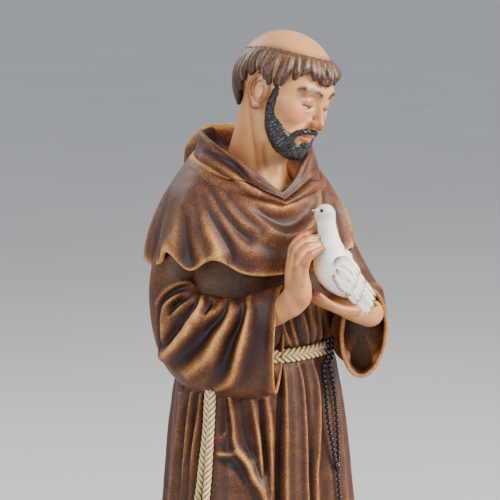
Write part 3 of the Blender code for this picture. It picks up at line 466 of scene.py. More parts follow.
skirt_folds = []
for i, angle in enumerate(BACK_FOLD_ANGLES):
    wave = math.sin(2.4 * i)
    low = angle + 3 * wave
    skirt_folds.append([(angle, 268, 0.8, 4), (angle + wave, 220, 2.4 + 0.5 * wave, 6),
                        (low, 110, 3.2 + 0.6 * wave, 8 + wave), (low, 0, 3.8 + 0.6 * wave, 10 + wave)])
for angle in LOW_FOLDS:
    skirt_folds.append([(angle, 170, 0, 5), (angle, 110, 1.6, 6), (angle + 0.04 * angle, 0, 2.8, 7)])
tunic_angles = np.concatenate([
    np.linspace(TUNIC_SEAM, TUNIC_FINE_END, TUNIC_ANGLES, endpoint=False),
    np.linspace(TUNIC_FINE_END, TUNIC_SEAM + 360, TUNIC_BACK_ANGLES, endpoint=False),
])
tunic_levels = np.concatenate([np.linspace(-3, 322, TUNIC_LEVELS), np.linspace(326, TUNIC_TOP, 10)])
tunic_form = tunic_round(*np.meshgrid(tunic_angles, tunic_levels))
tunic_out = outward(tunic_form)
folds_3d = [on_round(tunic_round, fold) for fold in (*skirt_folds, KNEE)]
folds_3d += [seen_on(tunic_form, tunic_out, fold) for fold in (*BLOUSE_FOLDS, *KNEE_FOLDS)]
for fold in SKIRT_FOLDS:
    laid = seen_on(tunic_form, tunic_out, fold)
    x, y, _, rise, width = laid[-1]
    wide, deep, back = through(TUNIC, laid[-1][2])
    angle = math.degrees(math.atan2(x / wide, (back - y) / deep))
    for height, more in ((120, 1.1), (0, 1.2)):
        laid.append((*tunic_round(np.array(angle), np.array(float(height))), rise * more, width * more))
    folds_3d.append(laid)
tunic_skin = carved(tunic_form, tunic_out, folds_3d, 1, crisp=1.5)
habit_paint = washed_and_shaded_paint("habit_paint", CLOTH_COLOURS, 0.44, stipple=0.18, cloud=0.07, grain=1.3,
                           shine=0.36)
habit = mesh_object("habit", *loft(tunic_skin), habit_paint)
add_relief(habit, broad=6.5, fine_full=0.30, broad_full=2.4, share=0.4)
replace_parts(habit, "statue")


def on_tunic(angles, heights, out=0.0):
    """Points on the finished tunic, or out from it by so many carve units."""
    angles, heights = np.broadcast_arrays(np.asarray(angles, float), np.asarray(heights, float))
    turned = (angles - TUNIC_SEAM) % 360 + TUNIC_SEAM
    column = np.interp(turned, [*tunic_angles, TUNIC_SEAM + 360], np.arange(len(tunic_angles) + 1))
    row = np.interp(heights, tunic_levels, np.arange(len(tunic_levels)))
    low, left = np.floor(row).astype(int), np.floor(column).astype(int)
    low = np.minimum(low, len(tunic_levels) - 2)
    up, over = (row - low)[..., None], (column - left)[..., None]
    found = 0
    for layer, away in ((tunic_skin, 1.0), (tunic_out, out)):
        wrapped = np.concatenate([layer, layer[:, :2]], 1)
        found = found + away * (
            (wrapped[low, left] * (1 - over) + wrapped[low, left + 1] * over) * (1 - up)
            + (wrapped[low + 1, left] * (1 - over) + wrapped[low + 1, left + 1] * over) * up
        )
    return found


# The shoulder cape: cloth over both shoulders, in swags across the chest, with a wavy hem that stands off.
# It is carved in the same casting and painted as the habit is.
# Its form is rows of (height, half width, half depth, set back).

CAPE = [
    (318, 55.0, 44.5, 3.0),
    (326, 54.5, 44.0, 3.5),
    (338, 52.0, 42.0, 4.0),
    (350, 48.0, 38.0, 5.0),
    (362, 42.5, 33.0, 6.0),
    (371, 36.0, 29.0, 6.5),
    (379, 29.5, 25.5, 6.0),
    (386, 23.0, 22.0, 5.0),
]
CAPE_LEFT_SHIFT = -2.0
CAPE_TOP = [(-180, 379), (-75, 378), (-35, 371), (0, 356), (35, 371), (75, 378), (180, 379)]
CAPE_INNER = [(0.95, 0), (0.92, -3), (0.88, -9), (0.5, -14)]
CAPE_SOFT, CAPE_WIDE = 0.78, 1.3
# Folds seen in the picture, rows of (x, y, rise, width)
CAPE_FOLDS = [
    [(190, 180, 0.6, 8), (186, 200, 2.0, 9), (180, 222, 3.0, 9), (173, 240, 3.4, 9), (168, 252, 3.6, 8)],
    [(185, 210, -0.6, 3), (184, 225, -2.0, 4), (184, 243, -3.0, 5), (189, 266, -3.4, 7)],
    [(194, 205, 0.4, 5), (198, 225, 0.8, 6), (200, 250, 0.8, 6)],
    [(202, 190, 0.8, 4), (206, 210, 2.2, 4.5), (212, 232, 3.2, 5), (219, 252, 4.0, 6)],
    [(204, 196, -0.6, 3), (213, 219, -2.2, 4), (224, 237, -3.0, 5), (234, 256, -3.2, 7), (246, 270, -2.6, 8)],
    [(208, 191, 0.6, 3), (215, 206, 1.8, 3.4), (227, 226, 2.6, 4), (238, 240, 2.4, 4.4), (251, 253, 1.4, 6)],
    [(212, 190, -0.4, 2.5), (223, 212, -1.8, 3.4), (237, 230, -2.4, 4), (249, 239, -1.6, 5)],
    [(217, 188, 0.6, 3), (227, 204, 1.8, 3.6), (240, 218, 2.4, 4), (253, 227, 2.4, 4.4), (267, 236, 2.2, 5),
     (284, 241, 1.4, 5)],
    [(226, 196, -0.4, 3), (243, 215, -1.4, 3.6), (262, 229, -1.4, 4)],
    [(236, 200, 0.8, 4), (248, 210, 2.0, 4), (260, 220, 2.8, 4.4), (273, 229, 3.2, 4.6), (287, 234, 3.2, 4.6),
     (300, 232, 3.0, 4.6), (310, 225, 2.4, 4.4), (317, 214, 1.6, 4), (322, 200, 0.8, 4)],
    [(258, 211, -0.8, 4), (272, 219, -2.4, 6), (285, 222, -3.2, 7.5), (298, 219, -2.6, 6),
     (308, 210, -1.0, 5)],
    [(238, 191, 0.8, 4), (252, 201, 1.8, 4), (267, 206.5, 2.2, 4), (283, 207.5, 2.2, 4), (297, 204, 1.6, 4),
     (308, 197, 0.8, 4)],
    [(256, 236, -0.6, 6), (273, 243, -1.6, 8), (290, 243, -1.6, 8)],
    [(262, 262, 1.0, 12), (280, 262, 1.0, 12)],
    [(317, 170, 0.6, 3), (318, 190, 1.8, 4), (317, 206, 1.2, 4)],
    [(323, 175, -0.5, 3), (326, 195, -1.4, 4), (326, 206, -1.0, 4)],
    [(343, 222, -0.8, 4), (347, 243, -2.0, 6)],
    [(335, 200, 0.8, 4), (345, 216, 1.8, 5), (354, 238, 2.4, 5)],
]
CAPE_BACK_FOLDS = [
    [(62, 368, 0, 5), (56, 352, 1.4, 6), (50, 336, 2.0, 8), (46, 318, 2.6, 8)],
    [(66, 356, 0, 5), (66, 340, -2.2, 7), (66, 318, -3.0, 8)],
    [(80, 366, 0, 5), (84, 346, 2.4, 7), (86, 318, 3.6, 9)],
    [(-98, 360, 0, 5), (-98, 340, -1.8, 8), (-99, 318, -2.6, 9)],
]
CAPE_HEM = [(-180, 324), (-120, 324), (-96, 322), (-86, 325.5), (-74, 332.5), (-58, 325), (-41, 331),
            (-24, 324), (0, 322.8), (20, 323.5), (34, 327), (48, 330.5), (66, 327), (88, 331), (120, 326),
            (180, 324)]
HEM_THICKNESS, HEM_STEPS = 3.2, 8
HEM_UNDER = [(1.5, 0.1), (4, 0.6), (8, 3), (12, 8)]
CAPE_SQUARE = 2.3
CAPE_ANGLES, CAPE_LEVELS = 350, 104


def cape_round(angles, heights):
    """The cape before its folds are cut."""
    wide, deep, back = through(CAPE, heights)
    turn = np.radians(angles)
    square = (np.abs(np.sin(turn)) ** CAPE_SQUARE + np.abs(np.cos(turn)) ** CAPE_SQUARE) ** (-1 / CAPE_SQUARE)
    x = CAPE_LEFT_SHIFT + wide * np.sin(turn) * square
    return np.stack([x, back - deep * np.cos(turn) * square, heights + 0 * x], -1)


cape_folds = list(CAPE_BACK_FOLDS)
for side in (-1, 1):
    for angle, lean in ((118, 8), (140, 5), (162, 2)):
        top, low = side * (angle + lean), side * angle
        cape_folds.append([(top, 364, 0, 5), (low, 344, 2.0, 7), (low, 318, 3.4, 9)])
cape_angles = np.linspace(-180, 180, CAPE_ANGLES, endpoint=False)
cape_hem = through(CAPE_HEM, cape_angles)[0]
cape_top = through(CAPE_TOP, cape_angles)[0]
cape_shares = np.linspace(0, 1, CAPE_LEVELS)[:, None] ** 0.9
cape_levels = cape_top + (cape_hem - cape_top) * (1 - cape_shares)
cape_form = cape_round(cape_angles[None, :] + 0 * cape_levels, cape_levels)
cape_out = outward(cape_form)
cape_folds_3d = [on_round(cape_round, fold) for fold in cape_folds]
for fold in CAPE_FOLDS:
    cape_folds_3d.append([(x, y, z, CAPE_SOFT * rise, CAPE_WIDE * width)
                          for x, y, z, rise, width in seen_on(cape_form, cape_out, fold)])
cape_skin = carved(cape_form, cape_out, cape_folds_3d, 3)
hem_ring, hem_out = cape_skin[0], cape_out[0]
hem_turns = np.linspace(0, math.pi, HEM_STEPS + 1)[1:]
hem_round = [hem_ring - hem_out * HEM_THICKNESS / 2 * (1 - math.cos(t)) - [0, 0, 0.9 * math.sin(t)]
             for t in hem_turns]
under = [hem_round[-1] + [0, 0, rise] - hem_out * sink for rise, sink in HEM_UNDER]
middle = cape_skin[-1].mean(0)
closing = [np.column_stack([(middle + (cape_skin[-1] - middle) * share)[:, :2], cape_top + sink])
           for share, sink in CAPE_INNER]
cape_rings = np.concatenate([under[::-1], hem_round[::-1], cape_skin, closing])
cape = mesh_object("cape", *loft(cape_rings), habit_paint)
add_relief(cape, broad=7.0, fine_full=0.30, broad_full=2.6, share=0.35)

# The sleeves: wide tubes of cloth round the bent arms, carved in the casting, hollow at the cuffs
# and painted as the habit is, their linings a plain brown. Their stations run from shoulder to cuff,
# in rows of (inner x, y, z, outer x, y, z, half width).

RIGHT_SLEEVE = [
    (-32, -6, 352, -36, 19, 355, 11),
    (-36, -9, 338, -40, 20, 336, 13.5),
    (-40, -10, 324, -45, 20, 308, 15.5),
    (-40, -11, 315, -46, 17, 284, 15.5),
    (-38, -14, 311, -44, 8, 266, 15.5),
    (-35, -19, 310, -39, -6, 258, 15),
    (-27, -27, 309, -29, -19, 256, 14),
    (-18, -35, 313, -19, -30, 257, 13),
    (-7.4, -42.6, 317, -8.8, -39.6, 260, 12),
]
LEFT_SLEEVE = [
    (29, -8, 352, 33, 15, 355, 10),
    (35, -14, 340, 38, 13, 336, 12.5),
    (40, -19, 328, 45, 10, 311, 14),
    (44, -23, 319, 51, 4, 290, 15),
    (46, -28, 315, 53, -9, 272, 14.5),
    (44, -36, 313, 48, -25, 266, 13.5),
    (41, -45, 313, 39, -42, 264, 12.5),
]
# Folds seen in the picture, rows of (x, y, rise, width)
RIGHT_SLEEVE_FOLDS = [
    [(190, 285, -0.8, 2.4), (176.7, 288, -1.8, 2.8), (165, 297, -2.2, 3), (159, 308, -2.2, 3),
     (157.5, 325, -2.0, 3),
     (158, 340, -1.4, 3), (161, 351, -0.6, 3)],
    [(208, 291, 0.4, 3), (192, 283.5, 1.2, 3), (178, 284, 1.4, 3), (165, 291, 1.2, 3), (156, 303, 0.8, 3)],
    [(186, 297, -1.2, 2.6), (179, 301, -2.8, 3.2), (173, 307, -3.0, 3.4), (170.5, 312, -1.8, 2.8)],
    [(176, 295, 1.0, 3), (166, 303, 2.2, 3.6), (163, 316, 2.4, 4), (163, 330, 2.0, 4), (162, 342, 1.0, 4)],
    [(195, 295, 0.8, 3), (188, 302, 2.0, 3.4), (178, 310, 2.4, 3.8), (170, 317, 2.2, 4), (166, 328, 1.4, 4)],
    [(198, 297, -0.8, 3), (193, 308, -2.2, 3.6), (183, 319, -2.8, 4), (176, 328, -3.0, 4.4),
     (170, 338, -2.8, 4.6),
     (163, 346, -1.8, 4)],
    [(200, 296, 0.6, 3), (198, 310, 2.4, 4.4), (191.7, 321.7, 3.2, 5.4), (185, 332, 3.4, 5.6),
     (178, 341, 3.4, 5.8),
     (168, 352, 3.0, 6), (160, 358, 1.8, 5)],
    [(203.5, 296, 0.8, 2.8), (202, 308, 2.0, 3.6), (197, 317, 1.6, 4)],
    [(224, 300, 0.8, 3), (218, 310, 2.4, 4), (208, 316, 2.4, 4.6), (200, 322, 1.6, 5)],
    [(206, 297, -0.8, 2.8), (208.5, 303, -2.0, 3.4), (205, 311, -1.8, 3)],
    [(227, 303, -1.0, 4), (217, 317, -2.8, 6), (207, 329, -3.4, 7), (197, 341, -3.6, 7.4),
     (184, 354, -3.0, 7),
     (173, 366, -1.6, 6)],
    [(228, 297, 0.8, 3.4), (231, 311, 2.8, 5), (225, 325, 3.4, 5.6), (217, 337, 3.4, 6), (212, 347, 3.4, 6.4),
     (205, 358, 3.2, 6.8), (195, 368, 2.8, 6.8), (187, 374, 1.6, 6)],
    [(243, 308, -1.2, 4), (237, 325, -3.0, 4.8), (230, 340, -3.4, 5.2), (225, 354, -3.4, 5.6),
     (221.7, 367, -3.0, 5.6),
     (215, 380, -2.0, 5.6), (208, 387, -1.0, 5)],
    [(249, 297, 0.8, 3), (247.5, 316, 2.4, 4), (244, 332, 2.8, 4.4), (241.7, 345, 2.8, 4.8),
     (237.5, 362, 2.8, 5),
     (233, 374, 2.6, 5), (226.7, 383, 2.0, 5), (217, 389, 1.0, 4)],
    [(258, 312, -0.8, 6), (256.7, 336, -2.0, 8), (253, 353, -2.2, 8), (248, 370, -1.8, 8),
     (243, 384, -0.8, 6)],
    [(277, 292, 1.0, 4), (276.5, 320, 1.8, 4.4), (276, 345, 1.8, 4.4), (273, 370, 1.6, 4.4),
     (270, 392, 1.0, 4)],
    [(194, 279, -0.6, 4), (203, 285, -1.4, 5), (210, 291, -0.8, 4)],
]
LEFT_SLEEVE_FOLDS = [
    [(386, 298, 0.5, 4), (380, 288, 2.0, 5), (372, 284, 1.2, 5)],
]
# Folds by their place on the sleeve, rows of (turn, share, rise, width)
LEFT_SLEEVE_TURNS = [
    [(200, 30, 0.7, 6), (225, 35, 3.1, 7.5), (260, 42, 3.9, 9), (290, 50, 1.4, 7.5)],
    [(200, 55, 1.1, 7.5), (230, 60, 3.4, 9), (265, 66, 3.6, 9), (300, 72, 1.1, 7.5)],
    [(200, 80, 1.1, 7.5), (235, 84, 3.4, 9), (270, 88, 3.4, 9), (310, 92, 1.1, 7.5)],
]
SLEEVE_WALL = 2.4
SLEEVE_AROUND, SLEEVE_ALONG, LINING_ALONG = 182, 136, 24
# The lining has a fold down each side, at this turn from the crook, and shades of brown between two tones.
LINING_FOLD, LINING_FOLD_WIDTH, LINING_FOLD_RISE = 128, 11, 2.0
LINING_TONE, LINING_FOLD_TONE = 0.52, 0.20


def sleeve_round(stations, turns, shares):
    """Points round a sleeve: turn 0 is the crook, 90 the outside, and shares run to 100 at the cuff."""
    keys = [(100 * i / (len(stations) - 1), *row) for i, row in enumerate(stations)]
    values = through(keys, shares)
    inner, outer, half = np.moveaxis(values[:3], 0, -1), np.moveaxis(values[3:6], 0, -1), values[6]
    step = through(keys, np.minimum(shares + 1, 100)) - through(keys, np.maximum(shares - 1, 0))
    along = np.moveaxis(step[:3] + step[3:6], 0, -1)
    long_axis = (outer - inner) / 2
    across = np.cross(long_axis, along)
    across /= np.linalg.norm(across, axis=-1)[..., None]
    side = 1 if stations is RIGHT_SLEEVE else -1
    turn = np.radians(turns)[..., None]
    return (inner + outer) / 2 - long_axis * np.cos(turn) + across * half[..., None] * side * np.sin(turn)


def sleeve(name, stations, seen_folds, turned_folds, hollow_from, seed):
    """A sleeve with its folds, its round lip and its lining, which reaches in to the share hollow_from."""
    around = np.linspace(0, 360, SLEEVE_AROUND, endpoint=False)
    turns, shares = np.meshgrid(around, np.linspace(0, 100, SLEEVE_ALONG))
    form = sleeve_round(stations, turns, shares)
    out = outward(form)
    folds = [seen_on(form, out, fold) for fold in seen_folds]
    for fold in turned_folds:
        a, s, rise, width = np.array(fold, float).T
        folds.append(np.column_stack([sleeve_round(stations, a, s), rise, width]))
    cloth = carved(form, out, folds, seed)
    turns, shares = np.meshgrid(around, np.linspace(100, hollow_from, LINING_ALONG))
    rows = np.round(shares[:, 0] / 100 * (SLEEVE_ALONG - 1)).astype(int)
    inside = cloth[rows] - out[rows] * SLEEVE_WALL
    forward = cloth[-1] - cloth[-4]
    forward /= np.linalg.norm(forward, axis=-1)[..., None]
    lip = [cloth[-1] + (inside[0] - cloth[-1]) * (1 - math.cos(t)) / 2
           + forward * 0.45 * SLEEVE_WALL * math.sin(t) for t in np.linspace(0, math.pi, 8)[1:-1]]
    bend = sum(np.exp(-(((turns - turn) / LINING_FOLD_WIDTH) ** 2))
               for turn in (LINING_FOLD, 360 - LINING_FOLD))
    inside -= out[rows] * (LINING_FOLD_RISE * bend * (1 - np.clip((shares - 97) / 3, 0, 1)))[..., None]
    made = mesh_object(name, *loft(np.concatenate([cloth, lip, inside])), habit_paint)
    relief = add_relief(made, broad=7.0, fine_full=0.30, broad_full=2.6, share=0.35)
    start = cloth.size // 3 + SLEEVE_AROUND * len(lip)
    relief[start:start + inside.size // 3] = (LINING_TONE + LINING_FOLD_TONE * bend).ravel()
    relief[-1] = 0.5
    made.data.attributes["relief"].data.foreach_set("value", relief.astype(np.float32))


sleeve("right_sleeve", RIGHT_SLEEVE, RIGHT_SLEEVE_FOLDS, [], 76, 5)
sleeve("left_sleeve", LEFT_SLEEVE, LEFT_SLEEVE_FOLDS, LEFT_SLEEVE_TURNS, 90, 7)

# The cowl: the hood's collar in two rolls round the neck, open in a V at the throat, with its lining inside.
# It is cloth carved in the casting, painted as the habit is.
# Its rim is rows of (angle, reach, height), its section rows of (out from the rim, down from it).

COWL = [
    (0, 30.5, 362.5),
    (14, 28.5, 367),
    (32, 27.5, 374),
    (60, 28.5, 380),
    (90, 28.5, 385),
    (130, 28.5, 389),
    (180, 28.0, 391.5),
]
COWL_FALL = [(0, 0.30), (14, 0.42), (32, 0.66), (55, 0.92), (75, 1.0), (180, 1.0)]
COWL_CENTRE = (-0.5, 1.0)
COWL_SECTION = [(-9, 16), (-4, 9.5), (-2.2, 3.0), (-1.5, 0.8), (-0.4, -0.3), (0.8, 0.3), (1.5, 1.8),
                (2.0, 4.2), (3.0, 7.4), (4.0, 10.0), (4.0, 11.6), (3.0, 12.8), (3.6, 13.4), (5.8, 14.0),
                (7.6, 16.0), (8.0, 18.6), (6.8, 21.4), (4.0, 23.4), (-9, 24)]
COWL_FOLDS = [
    [(206, 136, -0.3, 2), (220, 151.5, -0.9, 2.4), (233, 163, -1.1, 2.6), (244, 173, -0.9, 2.6),
     (252, 181, -0.3, 2)],
    [(212, 139, 0.3, 2), (226, 152, 0.6, 2.2), (240, 165, 0.6, 2.2), (254, 176, 0.3, 2)],
    [(204, 151, -0.4, 2), (220, 158.5, -1.2, 2.6), (234, 169, -1.5, 2.8), (247, 180, -1.4, 2.8),
     (258, 187, -1.0, 2.4),
     (273, 192, -0.5, 2)],
    [(200, 158, 0.5, 3), (220, 167.5, 1.2, 3.2), (233, 177, 1.4, 3.2), (247, 186.5, 1.4, 3),
     (260, 192.5, 1.0, 3)],
    [(303, 180, -0.3, 2), (308, 170, -0.8, 2.4), (312, 160, -0.8, 2.4), (312, 150, -0.3, 2)],
]
COWL_ANGLES, COWL_LEVELS, COWL_TOP_LEVEL = 250, 74, 48
COWL_LUMPS = ((0.35, 9), (0.07, 2.6))
cowl_angles = np.linspace(-180, 180, COWL_ANGLES, endpoint=False)
cowl_reach, cowl_rim = through(COWL, np.abs(cowl_angles))
cowl_rim = cowl_rim + 4.0 * np.exp(-(((cowl_angles + 85) / 45) ** 2))
section_at = np.linspace(0, len(COWL_SECTION) - 1, COWL_LEVELS)
section = through([(i, *row) for i, row in enumerate(COWL_SECTION)], section_at).T
turn = np.radians(cowl_angles)[:, None]
fall = through(COWL_FALL, np.abs(cowl_angles))[0][:, None]
reach = cowl_reach[:, None] + section[:, 0] * (0.55 + 0.45 * fall)
cowl_form = np.stack([
    COWL_CENTRE[0] + np.sin(turn) * reach,
    COWL_CENTRE[1] - np.cos(turn) * reach,
    cowl_rim[:, None] - section[:, 1] * fall + 0 * reach,
], -1)
cowl_out = np.cross(np.gradient(cowl_form, axis=1), np.roll(cowl_form, -1, 0) - np.roll(cowl_form, 1, 0))
cowl_out /= np.linalg.norm(cowl_out, axis=-1)[..., None]
roll_top = cowl_form[:, COWL_TOP_LEVEL]
cowl_out *= np.sign((cowl_out[:, COWL_TOP_LEVEL] * (roll_top - roll_top.mean(0))).sum())
cowl_folds = [seen_on(cowl_form, cowl_out, fold) for fold in COWL_FOLDS]
cowl_skin = carved(cowl_form, cowl_out, cowl_folds, 9, lumps=COWL_LUMPS)
cowl = mesh_object("cowl", *loft(cowl_skin, closed=True), habit_paint)
add_relief(cowl, broad=5.0, fine_full=0.30, broad_full=2.0, share=0.4)

# The hood, thrown back and hanging in a point between the shoulder blades: cloth carved in the casting
# and painted as the habit is. It isn't in the picture and is plain.
# Its form is rows of (height, half width, half depth, set back).

HOOD = [(300, 3, 3, 52), (316, 9, 6, 50), (334, 16, 9, 46), (352, 23, 11, 42), (370, 26, 11, 37),
        (384, 25, 9, 32), (392, 18, 4, 27)]
hood_turns, hood_levels = np.meshgrid(np.linspace(0, 2 * math.pi, 120, endpoint=False),
                                      np.linspace(HOOD[0][0], HOOD[-1][0], 70))
wide, deep, back = through(HOOD, hood_levels)
hood_form = np.stack([wide * np.sin(hood_turns), back - deep * np.cos(hood_turns), hood_levels], -1)
hood_skin = carved(hood_form, outward(hood_form), [], 11, lumps=((0.3, 7),))
add_relief(mesh_object("hood", *loft(hood_skin), habit_paint))

# The head and neck, bowed over the dove: one smooth casting with the rest, painted in warm skin tones
# with brushed brows, lashes, lips and cheeks. Its forms are written in the head's own axes.

HEAD_CENTRE = (8.8, -16.3, 412.5)
HEAD_TURN, HEAD_NOD, HEAD_LEAN = 26, 20, 10
# The hair's edges are rows of (angle from the face towards his left, height in the head's axes).
HAIR_TOP = [(-180, 9), (-150, 10.5), (-125, 14), (-105, 17), (-90, 18.8), (-60, 20.8), (-30, 22.0), (0, 22.3),
            (30, 22.0), (60, 20.8), (90, 18.8), (125, 14), (150, 10.5), (180, 9)]
HAIR_LOW = [(-180, -15), (-140, -12), (-125, -6), (-104, 4.2), (-90, 5.5), (-77, 3.6), (-68, 4.5), (-60, 9),
            (-50, 13), (-40, 14.6), (-30, 14.0), (-16, 12), (0, 12), (14, 13.6), (30, 15), (48, 13), (64, 6),
            (77, 3.6), (90, 5.5), (104, 4.2), (125, -6), (140, -12), (180, -15)]
# The face's forms are rows of (x, y, z, radius). Those of its left side are mirrored for its right.
BROW_RIDGE = [(-11.5, -17.6, 5.6, 2.8), (-5, -19.9, 5.4, 2.8), (5, -19.9, 5.4, 2.8), (11.5, -17.6, 5.6, 2.8)]
NOSE = [(0, -19.6, 4.5, 2.0), (0, -21.8, 0.5, 1.75), (0, -24.2, -4, 1.9), (0, -26.2, -7.6, 2.2)]
NOSE_BASE = [(0, -25.2, -10.2, 1.0), (0, -23.0, -11.6, 1.0)]
LID_CREASE = [(3.3, -19.9, 2.4, 0.35), (7.4, -22.4, 4.0, 0.4), (11.6, -18.0, 2.0, 0.35)]
CHEEK_LINE = [(6.0, -22.0, -9.6, 0.3), (8.8, -20.6, -12.4, 0.4), (9.8, -18.8, -15, 0.2)]
LID_SLIT = [(3.9, -20.8, -1.5, 0.3), (6.0, -21.9, -2.0, 1.0), (8.4, -21.7, -2.2, 1.05),
            (11.0, -19.6, -1.5, 0.35)]
LOWER_LID = [(4.2, -20.0, -2.8, 0.3), (6.4, -20.7, -3.8, 0.3), (9.0, -20.2, -3.8, 0.3),
             (11.0, -18.4, -2.8, 0.3)]
UPPER_LIP = [(-5.8, -20.2, -16.3, 0.7), (-2.3, -23.1, -15.2, 1.15), (0, -23.3, -15.6, 1.05),
             (2.3, -23.1, -15.2, 1.15), (5.8, -20.2, -16.3, 0.7)]
LOWER_LIP = [(-4.8, -20.6, -17.5, 0.8), (0, -22.9, -18.0, 1.5), (4.8, -20.6, -17.5, 0.8)]
MOUTH_LINE = [(-6.0, -21.0, -16.5, 0.25), (0, -24.4, -16.6, 0.35), (6.0, -21.0, -16.5, 0.25)]
LIP_GROOVE = [(0, -24.2, -12.6, 0.5), (0, -24.2, -14.2, 0.6)]
# The ears' rim and inner fold are rows of (back, up) from the ear's middle.
EAR = (20.4, 1.0, -3.0)
EAR_RIM = [(-3.4, 0.4), (-3.8, 4.0), (-1.0, 7.9), (3.4, 7.6), (5.6, 3.4), (5.0, -1.6), (2.6, -5.6),
           (0.2, -8.4), (-2.0, -7.8)]
EAR_FOLD = [(-1.6, 5.2), (1.8, 4.2), (2.9, 0.6), (1.6, -3.2), (-0.4, -4.6)]
# The neck, and on each side the muscle from behind the ear to the breastbone
NECK = [(0, 5, 358, 18), (0, 3, 372, 16), (1, -2, 388, 14.6), (3, -7, 404, 14.6)]
NECK_MUSCLE_TOP, BREASTBONE, CHEST = (16.5, 5.0, -12.0), (4.0, -13.5, 368), (-1, -4, 352)
head_place = Matrix.Translation(HEAD_CENTRE)
for angle, axis in ((HEAD_TURN, "Z"), (HEAD_NOD, "X"), (HEAD_LEAN, "Y")):
    head_place @= Matrix.Rotation(math.radians(angle), 4, axis)


def clay(low, high, cell):
    """A block of empty clay: a grid of distances to the form's surface."""
    counts = np.ceil((np.array(high, float) - low) / cell).astype(int) + 1
    return {"low": np.array(low, float), "cell": cell, "far": np.full(counts, 6.0, np.float32)}


def window(block, low, high):
    """The part of the block between two corners: its slices and its points."""
    start, cell, size = block["low"], block["cell"], block["far"].shape
    first = np.clip(np.floor((np.asarray(low) - start) / cell).astype(int), 0, size)
    last = np.clip(np.ceil((np.asarray(high) - start) / cell).astype(int) + 1, 0, size)
    part = tuple(slice(a, b) for a, b in zip(first, last))
    axes = [start[k] + cell * np.arange(first[k], last[k], dtype=np.float32) for k in range(3)]
    return part, np.stack(np.meshgrid(*axes, indexing="ij"), -1)


def meld(block, part, far, blend, cut):
    """Adds a form's distances to the block, or cuts it away, with a soft seam as wide as blend."""
    have = block["far"][part]
    sign = -1 if cut else 1
    share = np.clip(0.5 + 0.5 * (far - sign * have) / blend, 0, 1)
    block["far"][part] = sign * (far * (1 - share) + sign * have * share - blend * share * (1 - share))


def egg(block, centre, radii, turn=(0, 0, 0), blend=1.0, cut=False):
    """An ellipsoid, turned in degrees."""
    spin = np.array(Euler([math.radians(a) for a in turn]).to_matrix())
    reach = max(radii) + 2 * blend + 2
    part, points = window(block, np.array(centre) - reach, np.array(centre) + reach)
    local = (points - np.array(centre, np.float32)) @ spin.astype(np.float32) / np.array(radii, np.float32)
    size = np.linalg.norm(local, axis=-1)
    slope = np.linalg.norm(local / np.array(radii, np.float32), axis=-1) + 1e-6
    meld(block, part, size * (size - 1) / slope, blend, cut)


def roll(block, path, blend=1.0, cut=False):
    """A round-ended roll of clay through rows of (x, y, z, radius)."""
    path = np.array(path, np.float32)
    reach = path[:, 3].max() + 2 * blend + 1.5
    part, _ = window(block, path[:, :3].min(0) - reach, path[:, :3].max(0) + reach)
    far = np.full(block["far"].shape, 99.0, np.float32)
    for a, b in zip(path, path[1:]):
        near, points = window(block, np.minimum(a, b)[:3] - reach, np.maximum(a, b)[:3] + reach)
        run = b[:3] - a[:3]
        points -= a[:3]
        t = np.clip(points @ run / (run @ run + 1e-9), 0, 1)
        points -= t[..., None] * run
        away = np.sqrt(np.einsum("...i,...i", points, points))
        far[near] = np.minimum(far[near], away - a[3] - t * (b[3] - a[3]))
    meld(block, part, far[part], blend, cut)


def cast(block):
    """The points and faces of the clay's surface."""
    grid = openvdb.FloatGrid(background=6.0)
    grid.copyFromArray(block["far"])
    points, triangles, quads = grid.convertToPolygons(isovalue=0.0)
    faces = [face[::-1] for face in quads.tolist() + triangles.tolist()]
    return block["low"] + points * block["cell"], faces


def cast_object(name, block, finish, place=np.array, spots=None, slot="painted_resin", **relief):
    """The clay as an object, with the relief and the brushed spots that its paint reads."""
    points, faces = cast(block)
    made = mesh_object(name, place(points), faces, finish, slot)
    if relief:
        add_relief(made, **relief)
    if spots:
        add_tint(made, points, spots)


def placed(points):
    """Points in the head's own axes as points of the figure."""
    return points @ np.array(head_place.to_3x3()).T + np.array(head_place.translation)


def finer(path, steps=4):
    """The path's rows with more rows between them."""
    rows = np.array(path, float)
    at = np.linspace(0, len(rows) - 1, steps * (len(rows) - 1) + 1)
    return through(np.column_stack([np.arange(len(rows)), rows]), at).T


def add_tint(obj, points, spots):
    """Brushed colours on a mesh: spots are (path, reach, colour, strength) and fade out at their reach."""
    colour = np.zeros((len(points), 4))
    for path, reach, rgb, strength in spots:
        line = finer(path, 6) if len(path) > 2 else np.array(path, float)
        line = np.array([points[np.argmin(((points - spot) ** 2).sum(1))] for spot in line])
        far = np.full(len(points), np.inf)
        for a, b in zip(line, line[1:] if len(line) > 1 else line):
            run = b - a
            t = np.clip((points - a) @ run / (run @ run + 1e-9), 0, 1)
            far = np.minimum(far, np.linalg.norm(points - a - t[:, None] * run, axis=1))
        near = np.clip(1 - far / reach, 0, 1)
        share = strength * near**2 * (3 - 2 * near)
        have = colour[:, 3] * (1 - share)
        mixed = np.array(rgb) * share[:, None] + colour[:, :3] * have[:, None]
        colour[:, 3] = share + have
        colour[:, :3] = mixed / np.maximum(colour[:, 3:], 1e-6)
    layer = obj.data.attributes.new("tint", "FLOAT_COLOR", "POINT")
    layer.data.foreach_set("color", colour.astype(np.float32).ravel())


def in_head(point):
    """A point of the figure in the head's own axes."""
    return tuple(head_place.inverted() @ Vector(point))


CROWN = np.array([22.0, 26.0, 22.5])


